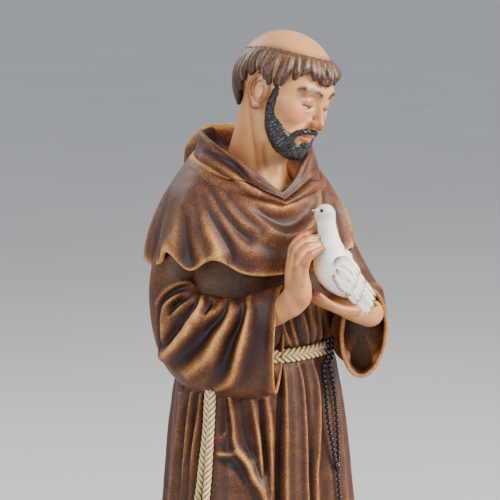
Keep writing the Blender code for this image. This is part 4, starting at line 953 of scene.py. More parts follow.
def on_crown(angle, height, out):
    """A point on the skull at this angle in degrees and height, or out from it by so many carve units."""
    level = np.clip((height - 7) / CROWN[2], -0.95, 0.95)
    round_it = math.sqrt(1 - level**2) if height > 7 else 1 - 0.35 * level**2
    turned = math.radians(angle)
    wide, deep = CROWN[:2] * round_it
    spot = np.array([wide * math.sin(turned), 4 - deep * math.cos(turned), height])
    away = (spot - [0, 4, 7]) / CROWN**2
    return spot + out * away / np.linalg.norm(away)


def mirrored(path, side):
    """The path on the left side of the face, or on the right where side is -1."""
    return [(x * side, *rest) for x, *rest in path]


skull = clay((-34, -38, -84), (34, 46, 32), 0.53)
egg(skull, (0, 4, 7), (22, 26, 22.2))
egg(skull, (0, -8, -5), (17.2, 13.6, 22.5), (6, 0, 0), blend=3)
egg(skull, (0, -7.5, -16.5), (14.2, 12.6, 11.5), blend=3)
egg(skull, (0, -16.6, -24.0), (6.0, 5.4, 4.6), blend=3)
roll(skull, finer(BROW_RIDGE), blend=3)
egg(skull, (0, -16.4, -16.4), (8.6, 6.4, 6.6), blend=3)
for side in (-1, 1):
    egg(skull, (11.0 * side, -13.2, -6.2), (6.4, 6.6, 6.2), blend=4)
    egg(skull, (12.6 * side, -2.5, -15.0), (3.0, 5.0, 5.0), blend=4)
    egg(skull, (7.6 * side, -22.4, 0.6), (5.6, 3.6, 3.9), blend=2.6, cut=True)
    egg(skull, (7.5 * side, -16.6, 0.2), (5.3, 4.9, 4.7), blend=0.9)
roll(skull, finer(NOSE), blend=2.0)
egg(skull, (0, -26.4, -8.4), (2.6, 2.6, 2.4), blend=1.2)
roll(skull, NOSE_BASE, blend=1.2)
for side in (-1, 1):
    egg(skull, (2.5 * side, -23.0, -9.0), (1.5, 2.6, 1.7), (0, 0, 18 * side), blend=2.2)
    egg(skull, (1.55 * side, -24.6, -11.2), (0.7, 1.3, 0.7), blend=0.4, cut=True)
    roll(skull, finer(mirrored(LID_CREASE, side)), blend=0.8, cut=True)
    roll(skull, finer(mirrored(CHEEK_LINE, side)), blend=2.2, cut=True)
    roll(skull, finer(mirrored(LID_SLIT, side)), blend=0.25, cut=True)
    roll(skull, finer(mirrored(LOWER_LID, side)), blend=1.3)
roll(skull, finer(UPPER_LIP), blend=0.8)
roll(skull, finer(LOWER_LIP), blend=0.8)
roll(skull, finer(MOUTH_LINE), blend=0.5, cut=True)
roll(skull, LIP_GROOVE, blend=0.9, cut=True)
for side in (-1, 1):
    x, y, z = EAR[0] * side, *EAR[1:]
    egg(skull, (x, y, z), (2.2, 5.0, 7.6), (4, 0, 14 * side), blend=1.4)
    rim = [(x + side * (1.5 + 0.24 * back), y + back, z + up, 1.15) for back, up in EAR_RIM]
    roll(skull, finer(rim), blend=0.6)
    egg(skull, (x + 2.9 * side, y - 0.6, z - 0.6), (2.0, 2.2, 3.6), (4, 0, 14 * side), blend=0.7, cut=True)
    fold = [(x + side * (1.5 + 0.2 * back), y + back, z + up, 0.75) for back, up in EAR_FOLD]
    roll(skull, finer(fold), blend=0.6)
    egg(skull, (x + 1.0 * side, y - 3.6, z - 1.4), (1.2, 1.1, 1.9), blend=0.7)
roll(skull, finer([(*in_head(row[:3]), row[3]) for row in NECK]), blend=4)
for side in (-1, 1):
    top, = mirrored([NECK_MUSCLE_TOP], side)
    low = in_head(mirrored([BREASTBONE], side)[0])
    middle = [(a + b) / 2 + c for a, b, c in zip(top, low, (1.0 * side, -1.0, 0))]
    roll(skull, finer([(*top, 1.8), (*middle, 1.8), (*low, 1.4)]), blend=6)
egg(skull, in_head(CHEST), (24, 21, 20), blend=5)
SKIN_COLOURS = [
    (0.08, (0.10, 0.026, 0.008)),
    (0.30, (0.32, 0.105, 0.032)),
    (0.46, (0.56, 0.245, 0.088)),
    (0.62, (0.70, 0.370, 0.150)),
    (0.86, (0.84, 0.540, 0.270)),
]
skin_paint = washed_and_shaded_paint("skin_paint", SKIN_COLOURS, 0.38, stipple=0.015, cloud=0.05, grain=0.3, tinted=True)
SKIN_RELIEF = {"fine": 1.0, "broad": 3.0, "fine_full": 0.35, "broad_full": 1.2}
BROW_BROWN, LASH_BROWN = (0.010, 0.005, 0.003), (0.008, 0.004, 0.003)
LIP_ROSE, BLUSH = (0.33, 0.075, 0.045), (0.62, 0.20, 0.095)
hair_edge = [on_crown(angle, through(HAIR_TOP, angle)[0] + 0.5, 0) for angle in np.linspace(-180, 180, 25)]
marks = [(hair_edge, 3.6, (0.20, 0.085, 0.035), 0.75)]
for side in (-1, 1):
    cheek = [(12.0, -19, -7.5), (12.1, -19, -7.5)]
    brow = [(3.5, -22.0, 6.0), (8.2, -22.2, 8.0), (14.4, -16.0, 6.0)]
    lashes = [(x, y, z + 0.95) for x, y, z, _ in finer(LID_SLIT)[::4]]
    marks += [
        (mirrored(cheek, side), 9.0, BLUSH, 0.55),
        (mirrored(brow, side), 2.1, BROW_BROWN, 1.0),
        (mirrored(lashes, side), 1.2, LASH_BROWN, 0.98),
    ]
upper_lip = [(-5.6, -20.8, -16.2), (-2.3, -24.0, -15.3), (0, -24.2, -15.6), (2.3, -24.0, -15.3),
             (5.6, -20.8, -16.2)]
lower_lip = [(-4.6, -21.2, -17.6), (0, -24.0, -18.0), (4.6, -21.2, -17.6)]
marks += [
    (upper_lip, 1.6, LIP_ROSE, 0.9),
    (lower_lip, 2.0, LIP_ROSE, 0.9),
    ([(0, -28.5, -8.8), (0, -28.4, -8.6)], 3.5, BLUSH, 0.15),
]
cast_object("head", skull, skin_paint, placed, marks, **SKIN_RELIEF)

# The eyes, under lowered lids: balls in the head's casting, painted an off-white with a brown iris,
# under a glossy varnish.

EYE_COLOURS = [(0.1, (0.55, 0.50, 0.45)), (0.4, (0.66, 0.62, 0.57)), (0.6, (0.70, 0.66, 0.61))]
IRIS_BROWN, PUPIL_BLACK = (0.035, 0.016, 0.009), (0.004, 0.003, 0.003)
eye_paint = washed_and_shaded_paint("eye_paint", EYE_COLOURS, 0.20, stipple=0.0, cloud=0.02, grain=0.0, tinted=True)
for number, side in enumerate((-1, 1)):
    ball = clay((7.5 * side - 7, -24, -7), (7.5 * side + 7, -10, 7), 0.4)
    egg(ball, (7.5 * side, -16.7, -0.2), (4.8, 4.5, 4.5))
    gaze = [(7.5 * side + 0.6, -20.7, -2.3), (7.5 * side + 0.7, -20.7, -2.3)]
    painted_eye = [(gaze, 2.7, IRIS_BROWN, 1.0), (gaze, 1.4, PUPIL_BLACK, 1.0)]
    cast_object(f"eye_{number + 1}", ball, eye_paint, placed, painted_eye, fine=1.2)

# The hair: a tonsure's ring of short combed locks, each of a few carved strands, in the head's casting.
# Brown paint is dry-brushed on the strands over a dark wash.

LOCKS, STRANDS, STRAND_GAP = 50, 3, 2.7
# Each strand is rows of (share of its length, height over the skull, radius).
STRAND = ((0, 0.0, 0.6), (0.22, 0.7, 0.9), (0.5, 1.5, 1.05), (0.78, 1.8, 1.15), (1, 0.9, 1.0))
hair = clay((-29, -30, -24), (29, 38, 28), 0.49)
rng = np.random.default_rng(21)
for angle in range(-180, 180, 5):
    top, low = through(HAIR_TOP, angle)[0] - 1.6, through(HAIR_LOW, angle)[0] + 2.2
    path = [(*on_crown(angle, top + (low - top) * share, -0.2), 1.5) for share in np.linspace(0, 1, 5)]
    roll(hair, path, blend=1.2)
for i in range(LOCKS):
    middle = 360 * (i + 0.25 * rng.uniform(-1, 1)) / LOCKS - 180
    top, low = through(HAIR_TOP, middle)[0], through(HAIR_LOW, middle)[0] + rng.uniform(-0.7, 0.7)
    comb = -np.sign(middle) * rng.uniform(2.0, 7.0)
    bow = rng.uniform(-4.5, 4.5)
    lift = rng.uniform(0.3, 1.3)
    for k in range(STRANDS):
        beside = (k - (STRANDS - 1) / 2) * STRAND_GAP
        inner = 1 if k == 1 else 0
        path = []
        for share, out, thick in STRAND:
            arch = math.sin(math.pi * share)
            angle = middle + beside * (1 - 0.55 * share**2) + comb * share**1.5 + bow * arch
            height = top + (low - top) * share - 0.8 * inner * share
            spot = on_crown(angle, height, out * (0.8 + 0.35 * lift) + 0.5 * inner * arch)
            path.append((*spot, thick))
        roll(hair, finer(path, 2), blend=0.22)
HAIR_COLOURS = [
    (0.14, (0.008, 0.004, 0.003)),
    (0.34, (0.045, 0.018, 0.009)),
    (0.50, (0.125, 0.052, 0.023)),
    (0.66, (0.250, 0.115, 0.050)),
    (0.88, (0.480, 0.260, 0.120)),
]
hair_paint = washed_and_shaded_paint("hair_paint", HAIR_COLOURS, 0.40, stipple=0.16, cloud=0.05, grain=1.4, streak=0.15)
cast_object("hair", hair, hair_paint, placed, fine=0.8, broad=2.4, fine_full=0.22, broad_full=0.8,
            share=0.6)

# The short full beard and moustache: soft forms in the head's casting, under many small carved strokes,
# painted black and dry-brushed grey on the strokes.

BEARD_STROKES, STROKE_LENGTH, STROKE_GAP, STROKES_COMPARED = 1500, 3.4, 0.8, 400
# Its forms are rows of (x, y, z, radius) in the head's axes, the left half of each pair.
JAW = [(18.4, -6.2, 8.0, 1.5), (18.3, -6.0, -2.5, 1.7), (16.8, -6.0, -9, 2.3), (13.4, -8.6, -17.0, 3.6),
       (8.6, -13.0, -23.0, 4.6), (2.6, -16.6, -25.6, 5.0)]
MOUSTACHE = [(0.9, -24.2, -12.9, 0.7), (3.8, -22.9, -13.4, 1.1), (7.0, -20.2, -15.6, 1.2),
             (8.4, -18.2, -19.0, 1.6), (7.6, -18.0, -22.0, 2.4)]
MOUTH_CORNER = [(8.6, -18.0, -20.0, 1.6), (12.0, -14.0, -17.5, 1.8), (14.6, -10.6, -13.0, 1.6)]
CHIN = [(-6, -17.4, -22.6, 2.6), (0, -19.2, -23.8, 3.2), (6, -17.4, -22.6, 2.6)]
beard = clay((-23, -30, -34), (23, 10, 6), 0.38)
for side in (-1, 1):
    roll(beard, finer(mirrored(JAW, side)), blend=2.0)
    roll(beard, finer(mirrored(MOUSTACHE, side)), blend=0.8)
    roll(beard, finer(mirrored(MOUTH_CORNER, side)), blend=2.0)
roll(beard, [(-1.6, -22.2, -21.0, 0.9), (1.6, -22.2, -21.0, 0.9)], blend=1.0)
roll(beard, finer(CHIN), blend=1.4)
under_points, under_faces = cast(beard)
corners = under_points[np.array([face[:3] for face in under_faces])]
slopes = np.cross(corners[:, 1] - corners[:, 0], corners[:, 2] - corners[:, 0])
slopes /= np.linalg.norm(slopes, axis=1)[:, None] + 1e-9
middles = corners.mean(1)
slopes *= np.sign(np.einsum("ij,ij->i", slopes, middles - middles.mean(0)).sum())
rng = np.random.default_rng(8)
kept = []
for index in rng.permutation(len(middles)):
    spot = middles[index]
    if all(np.abs(spot - middles[other]).sum() > STROKE_GAP for other in kept[-STROKES_COMPARED:]):
        kept.append(index)
    if len(kept) >= BEARD_STROKES:
        break
for index in kept:
    spot, out = middles[index], slopes[index]
    down = np.array([0.35 * np.sign(spot[0]) * min(1, abs(spot[0]) / 6), 0.25, -1.0])
    if spot[2] > -15.5 and abs(spot[0]) < 8:
        down = np.array([1.4 * np.sign(spot[0]), 0.35, -0.6])
    down = down + 0.28 * rng.normal(size=3)
    down -= out * (down @ out)
    down /= np.linalg.norm(down) + 1e-9
    length = STROKE_LENGTH * rng.uniform(0.7, 1.15) * (0.7 if spot[2] > -5 else 1)
    side = np.cross(out, down) * rng.uniform(-0.5, 0.5)
    path = [(*(spot - down * length * 0.4), 0.22), (*(spot + out * 0.16 + side * 0.4), 0.36),
            (*(spot + down * length * 0.6 + out * 0.06 + side), 0.18)]
    roll(beard, path, blend=0.12)
BEARD_COLOURS = [
    (0.14, (0.002, 0.002, 0.002)),
    (0.36, (0.007, 0.006, 0.006)),
    (0.54, (0.018, 0.017, 0.017)),
    (0.72, (0.060, 0.058, 0.058)),
    (0.92, (0.240, 0.235, 0.230)),
]
beard_paint = washed_and_shaded_paint("beard_paint", BEARD_COLOURS, 0.36, stipple=0.06, cloud=0.06, grain=0.6)
cast_object("beard", beard, beard_paint, placed, fine=0.8, broad=2.4, fine_full=0.20, broad_full=0.8,
            share=0.7)

# The hands: the right one raised, its fingertips on the dove's breast, the left one under the dove.
# Both are carved in the casting and painted as the face is, with darker knuckles and rosy nails.
# Their fingers are rows of (x, y, z, radius).

RIGHT_FINGERS = [
    [(-6.5, -52.5, 326, 3.0), (-4.8, -52, 337.5, 3.0), (0.9, -51.5, 343, 2.6), (8.0, -51.5, 345.5, 2.1)],
    [(-7.0, -56, 325, 3.1), (-5.7, -56, 336.5, 3.1), (-0.2, -56, 341.5, 2.7), (6.6, -55.5, 342, 2.2)],
    [(-7.0, -60, 324, 3.0), (-5.6, -60, 334.5, 3.0), (-1.4, -60, 338.8, 2.6), (5.2, -59, 339.6, 2.1)],
    [(-5.8, -63, 321, 2.8), (-4.6, -63.5, 331, 2.7), (-1.3, -63.4, 335.4, 2.4), (5.6, -61.5, 337.6, 1.9)],
]
# The wrist, the palm, its heel, its back and the thumb, each with the breadth of its seam
RIGHT_PALM = [
    ([(-22, -31, 297, 6.2), (-12.5, -40.5, 301.5, 6.3), (-6.5, -51.5, 308.5, 6.2)], 2),
    ([(-7, -53.5, 310.5, 6.3), (-4, -56, 313, 6.2), (-4.5, -57, 319, 6.0)], 3),
    ([(-4.8, -60, 315, 4.6), (-5.6, -61, 323, 4.4), (-5.8, -61, 328, 4.0)], 3),
    ([(-4.8, -54, 315, 4.6), (-5.8, -54, 324, 4.6), (-6, -54, 331, 3.8)], 3),
    ([(-1, -49, 318, 3.4), (3.5, -47.5, 326, 3.0), (7, -48, 333, 2.4)], 1.6),
]
LEFT_PALM = [
    ([(47, -30, 297, 7.0), (43.5, -42, 298, 6.8), (39.5, -50, 300, 6.4)], 2),
    ([(40, -49.5, 300, 6.5), (34, -53.5, 301.8, 6.6), (27, -55.5, 304, 5.8)], 3),
    ([(36, -48, 302, 5.4), (28, -49, 304, 5.6), (21, -49.5, 306.5, 5.0)], 3),
    ([(31, -44, 306, 3.4), (24, -42.5, 311, 3.0), (17, -43.5, 316, 2.5)], 1.6),
]
# The left fingers lie side by side, this far apart, rows of (x, step in y, z, radius).
LEFT_FINGER = [(26, 0, 304.2, 3.2), (18, -0.4, 305.6, 3.0), (10.5, -0.6, 309.0, 2.7), (4.8, -0.4, 314.0, 2.2)]
LEFT_FINGER_PLACES = [-60.5 + 4.4 * i for i in range(4)]
FINGER_SHARE = 0.88
right_clay = clay((-36, -72, 282), (16, -26, 352), 0.54)
for path, seam in RIGHT_PALM:
    roll(right_clay, finer(path), blend=seam)
for finger in RIGHT_FINGERS:
    roll(right_clay, finer([(x, y, z, FINGER_SHARE * r) for x, y, z, r in finger]), blend=0.45)
    for x, y, z, r in finger[1:3]:
        egg(right_clay, (x, y, z), (0.96 * r, 0.92 * r, 0.97 * r), blend=0.7)
NAIL_ROSE, KNUCKLE_TAN = (0.76, 0.42, 0.24), (0.50, 0.22, 0.09)
spots = []
for finger in RIGHT_FINGERS:
    for x, y, z, r in finger[1:3]:
        spots.append(([(x - r, y, z + 0.6 * r), (x - r, y, z + 0.7 * r)], 1.4 * r, KNUCKLE_TAN, 0.28))
    x, y, z, r = finger[3]
    spots.append(([(x, y - 0.3 * r, z + r), (x + 0.3, y - 0.3 * r, z + r)], 0.8 * r, NAIL_ROSE, 0.6))
cast_object("right_hand", right_clay, skin_paint, spots=spots, **SKIN_RELIEF)

left_clay = clay((-2, -72, 288), (58, -18, 326), 0.56)
for path, seam in LEFT_PALM:
    roll(left_clay, finer(path), blend=seam)
spots = []
for place in LEFT_FINGER_PLACES:
    finger = [(x, place + y, z, FINGER_SHARE * r) for x, y, z, r in LEFT_FINGER]
    roll(left_clay, finer(finger), blend=0.4)
    y = place - 0.4
    spots.append(([(18, y, 302.6), (18.2, y, 302.6)], 3.4, KNUCKLE_TAN, 0.28))
    spots.append(([(3.4, y, 313.0), (3.5, y, 313.2)], 1.8, NAIL_ROSE, 0.6))
cast_object("left_hand", left_clay, skin_paint, spots=spots, **SKIN_RELIEF)

# The dove, perched on the left hand and cast in one with it: off-white, with carved wing and tail feathers
# in overlapping rows under a brown wash, a yellow beak and black eyes.

DOVE_BODY = [(32, -55, 313.5, 4.5), (26.5, -55, 316.5, 7.0), (20.5, -56, 320.5, 8.8),
             (15.4, -56.5, 326, 9.8), (13.2, -56.3, 333, 8.2), (12.8, -55.8, 340, 5.6),
             (11.8, -55.2, 347.5, 4.7), (11.0, -55, 353.5, 4.8)]
dove_clay = clay((-2, -74, 298), (48, -38, 364), 0.48)
roll(dove_clay, finer(DOVE_BODY), blend=2)
egg(dove_clay, (10.6, -55, 354), (5.2, 4.6, 4.8), blend=1.5)
BEAK_TIP = (3.6, -55, 356.2)
roll(dove_clay, [(7.5, -55, 354.8, 2.0), (5.4, -55, 355.6, 1.2), (*BEAK_TIP, 0.45)], blend=0.8)


def feather(root, direction, flat, length, width, thick):
    """One long flat feather with its quill end at the root."""
    direction = np.array(direction) / np.linalg.norm(direction)
    flat = np.array(flat) - direction * np.dot(flat, direction)
    flat /= np.linalg.norm(flat)
    beside = np.cross(flat, direction)
    centre = np.array(root) + direction * length / 2
    reach = length / 2 + 2.5
    part, points = window(dove_clay, centre - reach, centre + reach)
    sizes = np.array([length / 2, width / 2, thick / 2])
    local = (points - centre) @ np.stack([direction, beside, flat], -1) / sizes
    size = np.linalg.norm(local, axis=-1)
    slope = np.linalg.norm(local / sizes, axis=-1) + 1e-6
    meld(dove_clay, part, size * (size - 1) / slope, 0.25, False)


TAIL_FEATHERS, TAIL_LENGTH = 7, 20
for spread in np.linspace(-1, 1, TAIL_FEATHERS):
    feather((26, -54.5 + 2.2 * spread, 316), (0.76, 0.10 + 0.16 * spread, -0.60), (0.5, 0, 0.85),
            TAIL_LENGTH - 2 * abs(spread), 4.0, 1.6)
# Each wing's rows of feathers are (distance along the wing, how many, length, width, height over the body).
WING_ROOT, WING_LINE, WING_FLAT = (16.5, 10.6, 331.0), (0.64, -0.20, -0.74), (-0.12, 0.98, -0.05)
DOVE_MIDDLE = -56
WING_ROWS = [(12.0, 6, 21.0, 3.4, -0.8), (8.0, 7, 13.5, 3.3, -0.5), (4.5, 7, 9.5, 3.3, -0.3),
             (1.0, 6, 8.5, 3.3, -0.1), (-2.0, 5, 7.5, 3.3, 0.0)]
bare_body = dove_clay["far"].copy()
last_cell = np.array(bare_body.shape) - 1
for side in (-1, 1):
    root, line, flat = (np.array(way) * [1, side, 1] for way in (WING_ROOT, WING_LINE, WING_FLAT))
    root += [0, DOVE_MIDDLE, 0]
    over = np.cross(flat, line) * side
    feather(root - line * 5 + over * 2.5 - flat * 1.6, line, flat, 19, 11, 4.6)
    for number, (start, count, length, width, high) in enumerate(WING_ROWS):
        for k in range(count):
            share = k / (count - 1) - 0.5
            spread = (13 - 0.35 * start) * share + 2.8 + (0.5 if number % 2 else -0.3)
            place = root + line * (start + 5 * share) + over * spread
            for _ in range(3):
                cell = np.round((place + line * 2 - dove_clay["low"]) / dove_clay["cell"]).astype(int)
                place = place + flat * np.clip(high - bare_body[tuple(np.clip(cell, 0, last_cell))], -4, 4)
            direction = line + over * 0.10 * share + flat * 1.7 / length
            feather(place, direction, flat + 0.5 * share * over, length, width, 1.3)
DOVE_COLOURS = [
    (0.10, (0.10, 0.045, 0.020)),
    (0.26, (0.38, 0.250, 0.140)),
    (0.38, (0.76, 0.700, 0.600)),
    (0.46, (0.90, 0.880, 0.830)),
    (0.80, (0.95, 0.940, 0.910)),
]
dove_paint = washed_and_shaded_paint("dove_paint", DOVE_COLOURS, 0.45, stipple=0.05, cloud=0.06, grain=0.8, tinted=True)
painted_beak = [([(5.6, -55, 355.6), BEAK_TIP], 1.9, (0.72, 0.42, 0.06), 0.95)]
cast_object("dove", dove_clay, dove_paint, spots=painted_beak, fine=1.0, broad=3.0, fine_full=0.22,
            broad_full=1.3)
EYE_BLACK, EYE_SHADE = (0.003, 0.003, 0.003), (0.012, 0.010, 0.009)
dove_eye_paint = clouded_paint("dove_eye_paint", 900.0, 2.0, EYE_BLACK, EYE_SHADE, 0.12)
for number, y in enumerate((-58.0, -52.0)):
    bead = clay((5, y - 2.5, 353), (10.5, y + 2.5, 359), 0.2)
    egg(bead, (7.6, y, 356.1), (1.0, 1.0, 1.0))
    cast_object(f"dove_eye_{number + 1}", bead, dove_eye_paint)

# The rope belt in two turns, and its two ends with their knots and tassels, hanging at the right hip:
# three twisted strands of cord, carved in the casting and painted cream over a brown wash.
# The ends and the knots are rows of (angle, height) on the skirt.

BELT_LEVEL, BELT_POINTS = 277.5, 240
ROPE, ROPE_LAY, STRAND_SIDES, KNOT = 4.0, 9.6, 8, 2.2
ROPE_KNOTS = [[(-64.5, 176), (-66, 148), (-66, 120)], [(-55, 178), (-55, 152), (-55, 128)]]
ROPE_ENDS = [
    [(-54, 280), (-55, 262), (-57.4, 240), (-61, 215), (-64.2, 190), (-66, 160), (-66.6, 130), (-66.6, 100)],
    [(-52, 280), (-52, 262), (-52.5, 240), (-53.5, 215), (-54.5, 190), (-55, 160), (-55, 135), (-55, 112)],
]


def twisted(line, closed=False, hand=1):
    """Three strands twisted round a line of points, to the right or the left."""
    line = np.array(line, float)
    if closed:
        along = np.roll(line, -1, 0) - np.roll(line, 1, 0)
        step = np.linalg.norm(np.roll(line, -1, 0) - line, axis=1)
    else:
        along = np.gradient(line, axis=0)
        step = np.linalg.norm(np.diff(line, axis=0, append=line[-1:]), axis=1)
    travelled = np.concatenate([[0], np.cumsum(step)[:-1]])
    along /= np.linalg.norm(along, axis=1)[:, None]
    turns = travelled / ROPE_LAY
    if closed:
        turns *= round(step.sum() / ROPE_LAY) / (step.sum() / ROPE_LAY)
    up = np.array([0.0, 0.0, 1.0]) if closed else np.array([0.0, -1.0, 0.0])
    beside = np.cross(along, up)
    beside /= np.linalg.norm(beside, axis=1)[:, None]
    above = np.cross(beside, along)
    points, faces, tones, before = [], [], [], 0
    ring = np.linspace(0, 2 * math.pi, STRAND_SIDES + 1)[:-1]
    for strand in range(3):
        turn = 2 * math.pi * hand * (turns + strand / 3)
        out = np.cos(turn)[:, None] * beside + np.sin(turn)[:, None] * above
        middle = line + out * 0.27 * ROPE
        tangent = np.gradient(middle, axis=0)
        tangent /= np.linalg.norm(tangent, axis=1)[:, None]
        side = np.cross(tangent, out)
        rings = middle[:, None] + 0.25 * ROPE * (np.cos(ring)[None, :, None] * out[:, None]
                                                 + np.sin(ring)[None, :, None] * side[:, None])
        found, tube = loft(rings, closed)
        tone = np.tile(0.32 + 0.44 * np.cos(ring), len(line))
        tones.append(np.concatenate([tone, [0.5] * (len(found) - len(tone))]))
        points.append(found)
        faces += [[i + before for i in face] for face in tube]
        before += len(found)
    return np.concatenate(points), faces, np.concatenate(tones)


def even(line, spacing, closed=False):
    """The line's points at an even spacing."""
    line = np.array(line, float)
    if closed:
        line = np.concatenate([line, line[:1]])
    travelled = np.concatenate([[0], np.cumsum(np.linalg.norm(np.diff(line, axis=0), axis=1))])
    at = np.linspace(0, travelled[-1], max(2, round(travelled[-1] / spacing)) + 1)
    if closed:
        at = at[:-1]
    return np.stack([np.interp(at, travelled, line[:, k]) for k in range(3)], 1)


ROPE_COLOURS = [
    (0.10, (0.020, 0.009, 0.004)),
    (0.30, (0.130, 0.062, 0.020)),
    (0.46, (0.400, 0.240, 0.090)),
    (0.64, (0.700, 0.520, 0.250)),
    (0.88, (0.860, 0.730, 0.450)),
]
rope_paint = washed_and_shaded_paint("rope_paint", ROPE_COLOURS, 0.55, stipple=0.08, cloud=0.05, grain=1.2)


def rope_object(name, points, faces, tones):
    """A stretch of rope, dark between its strands."""
    made = mesh_object(name, points, faces, rope_paint)
    made.data.attributes.new("relief", "FLOAT", "POINT").data.foreach_set("value", tones.astype(np.float32))


belt_angles = np.linspace(0, 360, BELT_POINTS, endpoint=False)
for number, level in enumerate((BELT_LEVEL + 0.48 * ROPE, BELT_LEVEL - 0.48 * ROPE)):
    line = on_tunic(belt_angles, np.full(BELT_POINTS, level), 0.35 * ROPE)
    for _ in range(12):
        line = 0.5 * line + 0.25 * (np.roll(line, 1, 0) + np.roll(line, -1, 0))
    rope_object(f"belt_turn_{number + 1}", *twisted(even(line, 0.8, True), True, 1 - 2 * number))
for number, route in enumerate(ROPE_ENDS):
    angles, heights = finer(route, 12).T
    line = on_tunic(angles, heights, 0.4 * ROPE)
    rope_object(f"rope_end_{number + 1}", *twisted(even(line, 0.8), False, 1 - 2 * number))
    ends = clay(line.min(0) - 14, line.max(0) + 8, 0.5)
    ring = np.linspace(0, math.tau, 13)
    for angle, height in ROPE_KNOTS[number]:
        centre = on_tunic(np.array([angle]), np.array([height]), 0.4 * ROPE)[0]
        for coil in (-1, 0, 1):
            steps = [(KNOT * math.cos(t), KNOT * math.sin(t), 2.3 * coil + 0.9 * math.cos(t)) for t in ring]
            roll(ends, [(*(centre + out), 1.45) for out in steps], blend=0.3)
    tip = line[-1]
    for t in ring[:-1]:
        spread = np.array([math.cos(t), math.sin(t), 0])
        bent, end = tip + 1.7 * spread - [0, 0, 4], tip + 2.9 * spread - [0, 0, 12]
        roll(ends, [(*tip, 1.3), (*bent, 0.8), (*end, 0.6)], blend=0.25)
    band = [(*(tip + [2.0 * math.cos(t), 2.0 * math.sin(t), -1.5]), 1.0) for t in ring]
    roll(ends, band, blend=0.3)
    cast_object(f"knots_{number + 1}", ends, rope_paint, fine=1.0, broad=2.0, fine_full=0.25, broad_full=0.6)

# The rosary: small black glass beads on a thread, with a medal, a short drop and a cross. It is a separate
# string, hung over the belt at the left. Its loop and its drop are rows of (angle, height) on the skirt.

BEAD, BEAD_PITCH, WIRE = 2.5, 2.85, 0.7
ROSARY_LOOP = [(33.0, 283), (33.0, 279), (32.5, 262), (32.0, 240), (33.5, 222), (36.0, 215.5), (38.5, 222),
               (40.5, 240), (41.0, 256), (39.0, 268), (36.5, 279), (36.0, 283)]
ROSARY_DROP = [(36.0, 213), (36.0, 200), (36.2, 188), (36.4, 181)]
MEDAL, CROSS_LONG, CROSS_WIDE, CROSS_BAR = 3.6, 16.0, 9.0, 0.95
# How far the string stands off the cloth, and how far and how broadly the belt lifts it
BEADS_OFF, CROSS_OFF, OVER_BELT, BELT_BREADTH = 0.5, 1.9, 3.4, 6.5
BEAD_BLACK, BEAD_SHADE = (0.003, 0.003, 0.004), (0.008, 0.008, 0.011)
bead_paint = clouded_paint("bead_paint", 500.0, 2.0, BEAD_BLACK, BEAD_SHADE, 0.09)

string = bpy.data.node_groups.new("beads_on_wire", "GeometryNodeTree")
for label, kind, way in (
    ("Line", "Geometry", "INPUT"), ("Bead radius", "Float", "INPUT"), ("Wire radius", "Float", "INPUT"),
    ("Paint", "Material", "INPUT"), ("String", "Geometry", "OUTPUT"),
):
    string.interface.new_socket(label, in_out=way, socket_type="NodeSocket" + kind)


def step(kind, inputs):
    """The result of a new step of the string's tree."""
    return node(string, "GeometryNode" + kind, inputs).outputs[0]


given = node(string, "NodeGroupInput").outputs
ball = step("MeshUVSphere", {"Segments": 16, "Rings": 10, "Radius": given["Bead radius"]})
ball = step("SetShadeSmooth", {"Geometry": ball})
places = step("MeshToPoints", {"Mesh": given["Line"]})
beads = step("InstanceOnPoints", {"Points": places, "Instance": ball})
thread = step("MeshToCurve", {"Mesh": given["Line"]})
round_wire = step("CurvePrimitiveCircle", {"Resolution": 8, "Radius": given["Wire radius"]})
thread = step("CurveToMesh", {"Curve": thread, "Profile Curve": round_wire})
solid = step("RealizeInstances", {"Geometry": step("JoinGeometry", {"Geometry": [beads, thread]})})
painted = step("SetMaterial", {"Geometry": solid, "Material": given["Paint"]})
node(string, "NodeGroupOutput", {"String": painted})


def clear_of_cloth(route, out):
    """The route's points, held so far out from the skirt's highest cloth near them."""
    angles, heights = finer(route, 12).T
    reach = []
    for angle, height in zip(angles, heights):
        near = on_tunic(angle + np.linspace(-4, 4, 7), np.full(7, height))
        form = tunic_round(np.array(angle), np.array(height))
        away = form - [0, 0, height]
        reach.append(((near - form) @ (away / np.linalg.norm(away))).max())
    form = tunic_round(angles, heights)
    away = form * [1, 1, 0]
    away /= np.linalg.norm(away, axis=1)[:, None]
    reach = np.convolve(np.pad(reach, 4, "edge"), np.ones(9) / 9, "valid")
    over_belt = OVER_BELT * np.exp(-(((heights - BELT_LEVEL) / BELT_BREADTH) ** 4))
    return form + away * (reach + out + over_belt)[:, None]


def strung(name, route):
    """A string of beads along a route, as a plain mesh in the beads' paint."""
    points = even(clear_of_cloth(route, 0.5 * BEAD + BEADS_OFF), BEAD_PITCH)
    mesh = bpy.data.meshes.new(name)
    mesh.from_pydata(metres(points), [(i, i + 1) for i in range(len(points) - 1)], [])
    made = added(name, mesh)
    modifier = made.modifiers.new("beads", "NODES")
    modifier.node_group = string
    values = {"Bead radius": BEAD / 2000, "Wire radius": WIRE / 2000, "Paint": bead_paint}
    for item in string.interface.items_tree:
        if item.name in values:
            modifier[item.identifier] = values[item.name]
    found = bpy.data.meshes.new_from_object(made.evaluated_get(bpy.context.evaluated_depsgraph_get()))
    made.modifiers.clear()
    made.data = found
    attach(made, "root")
    return made


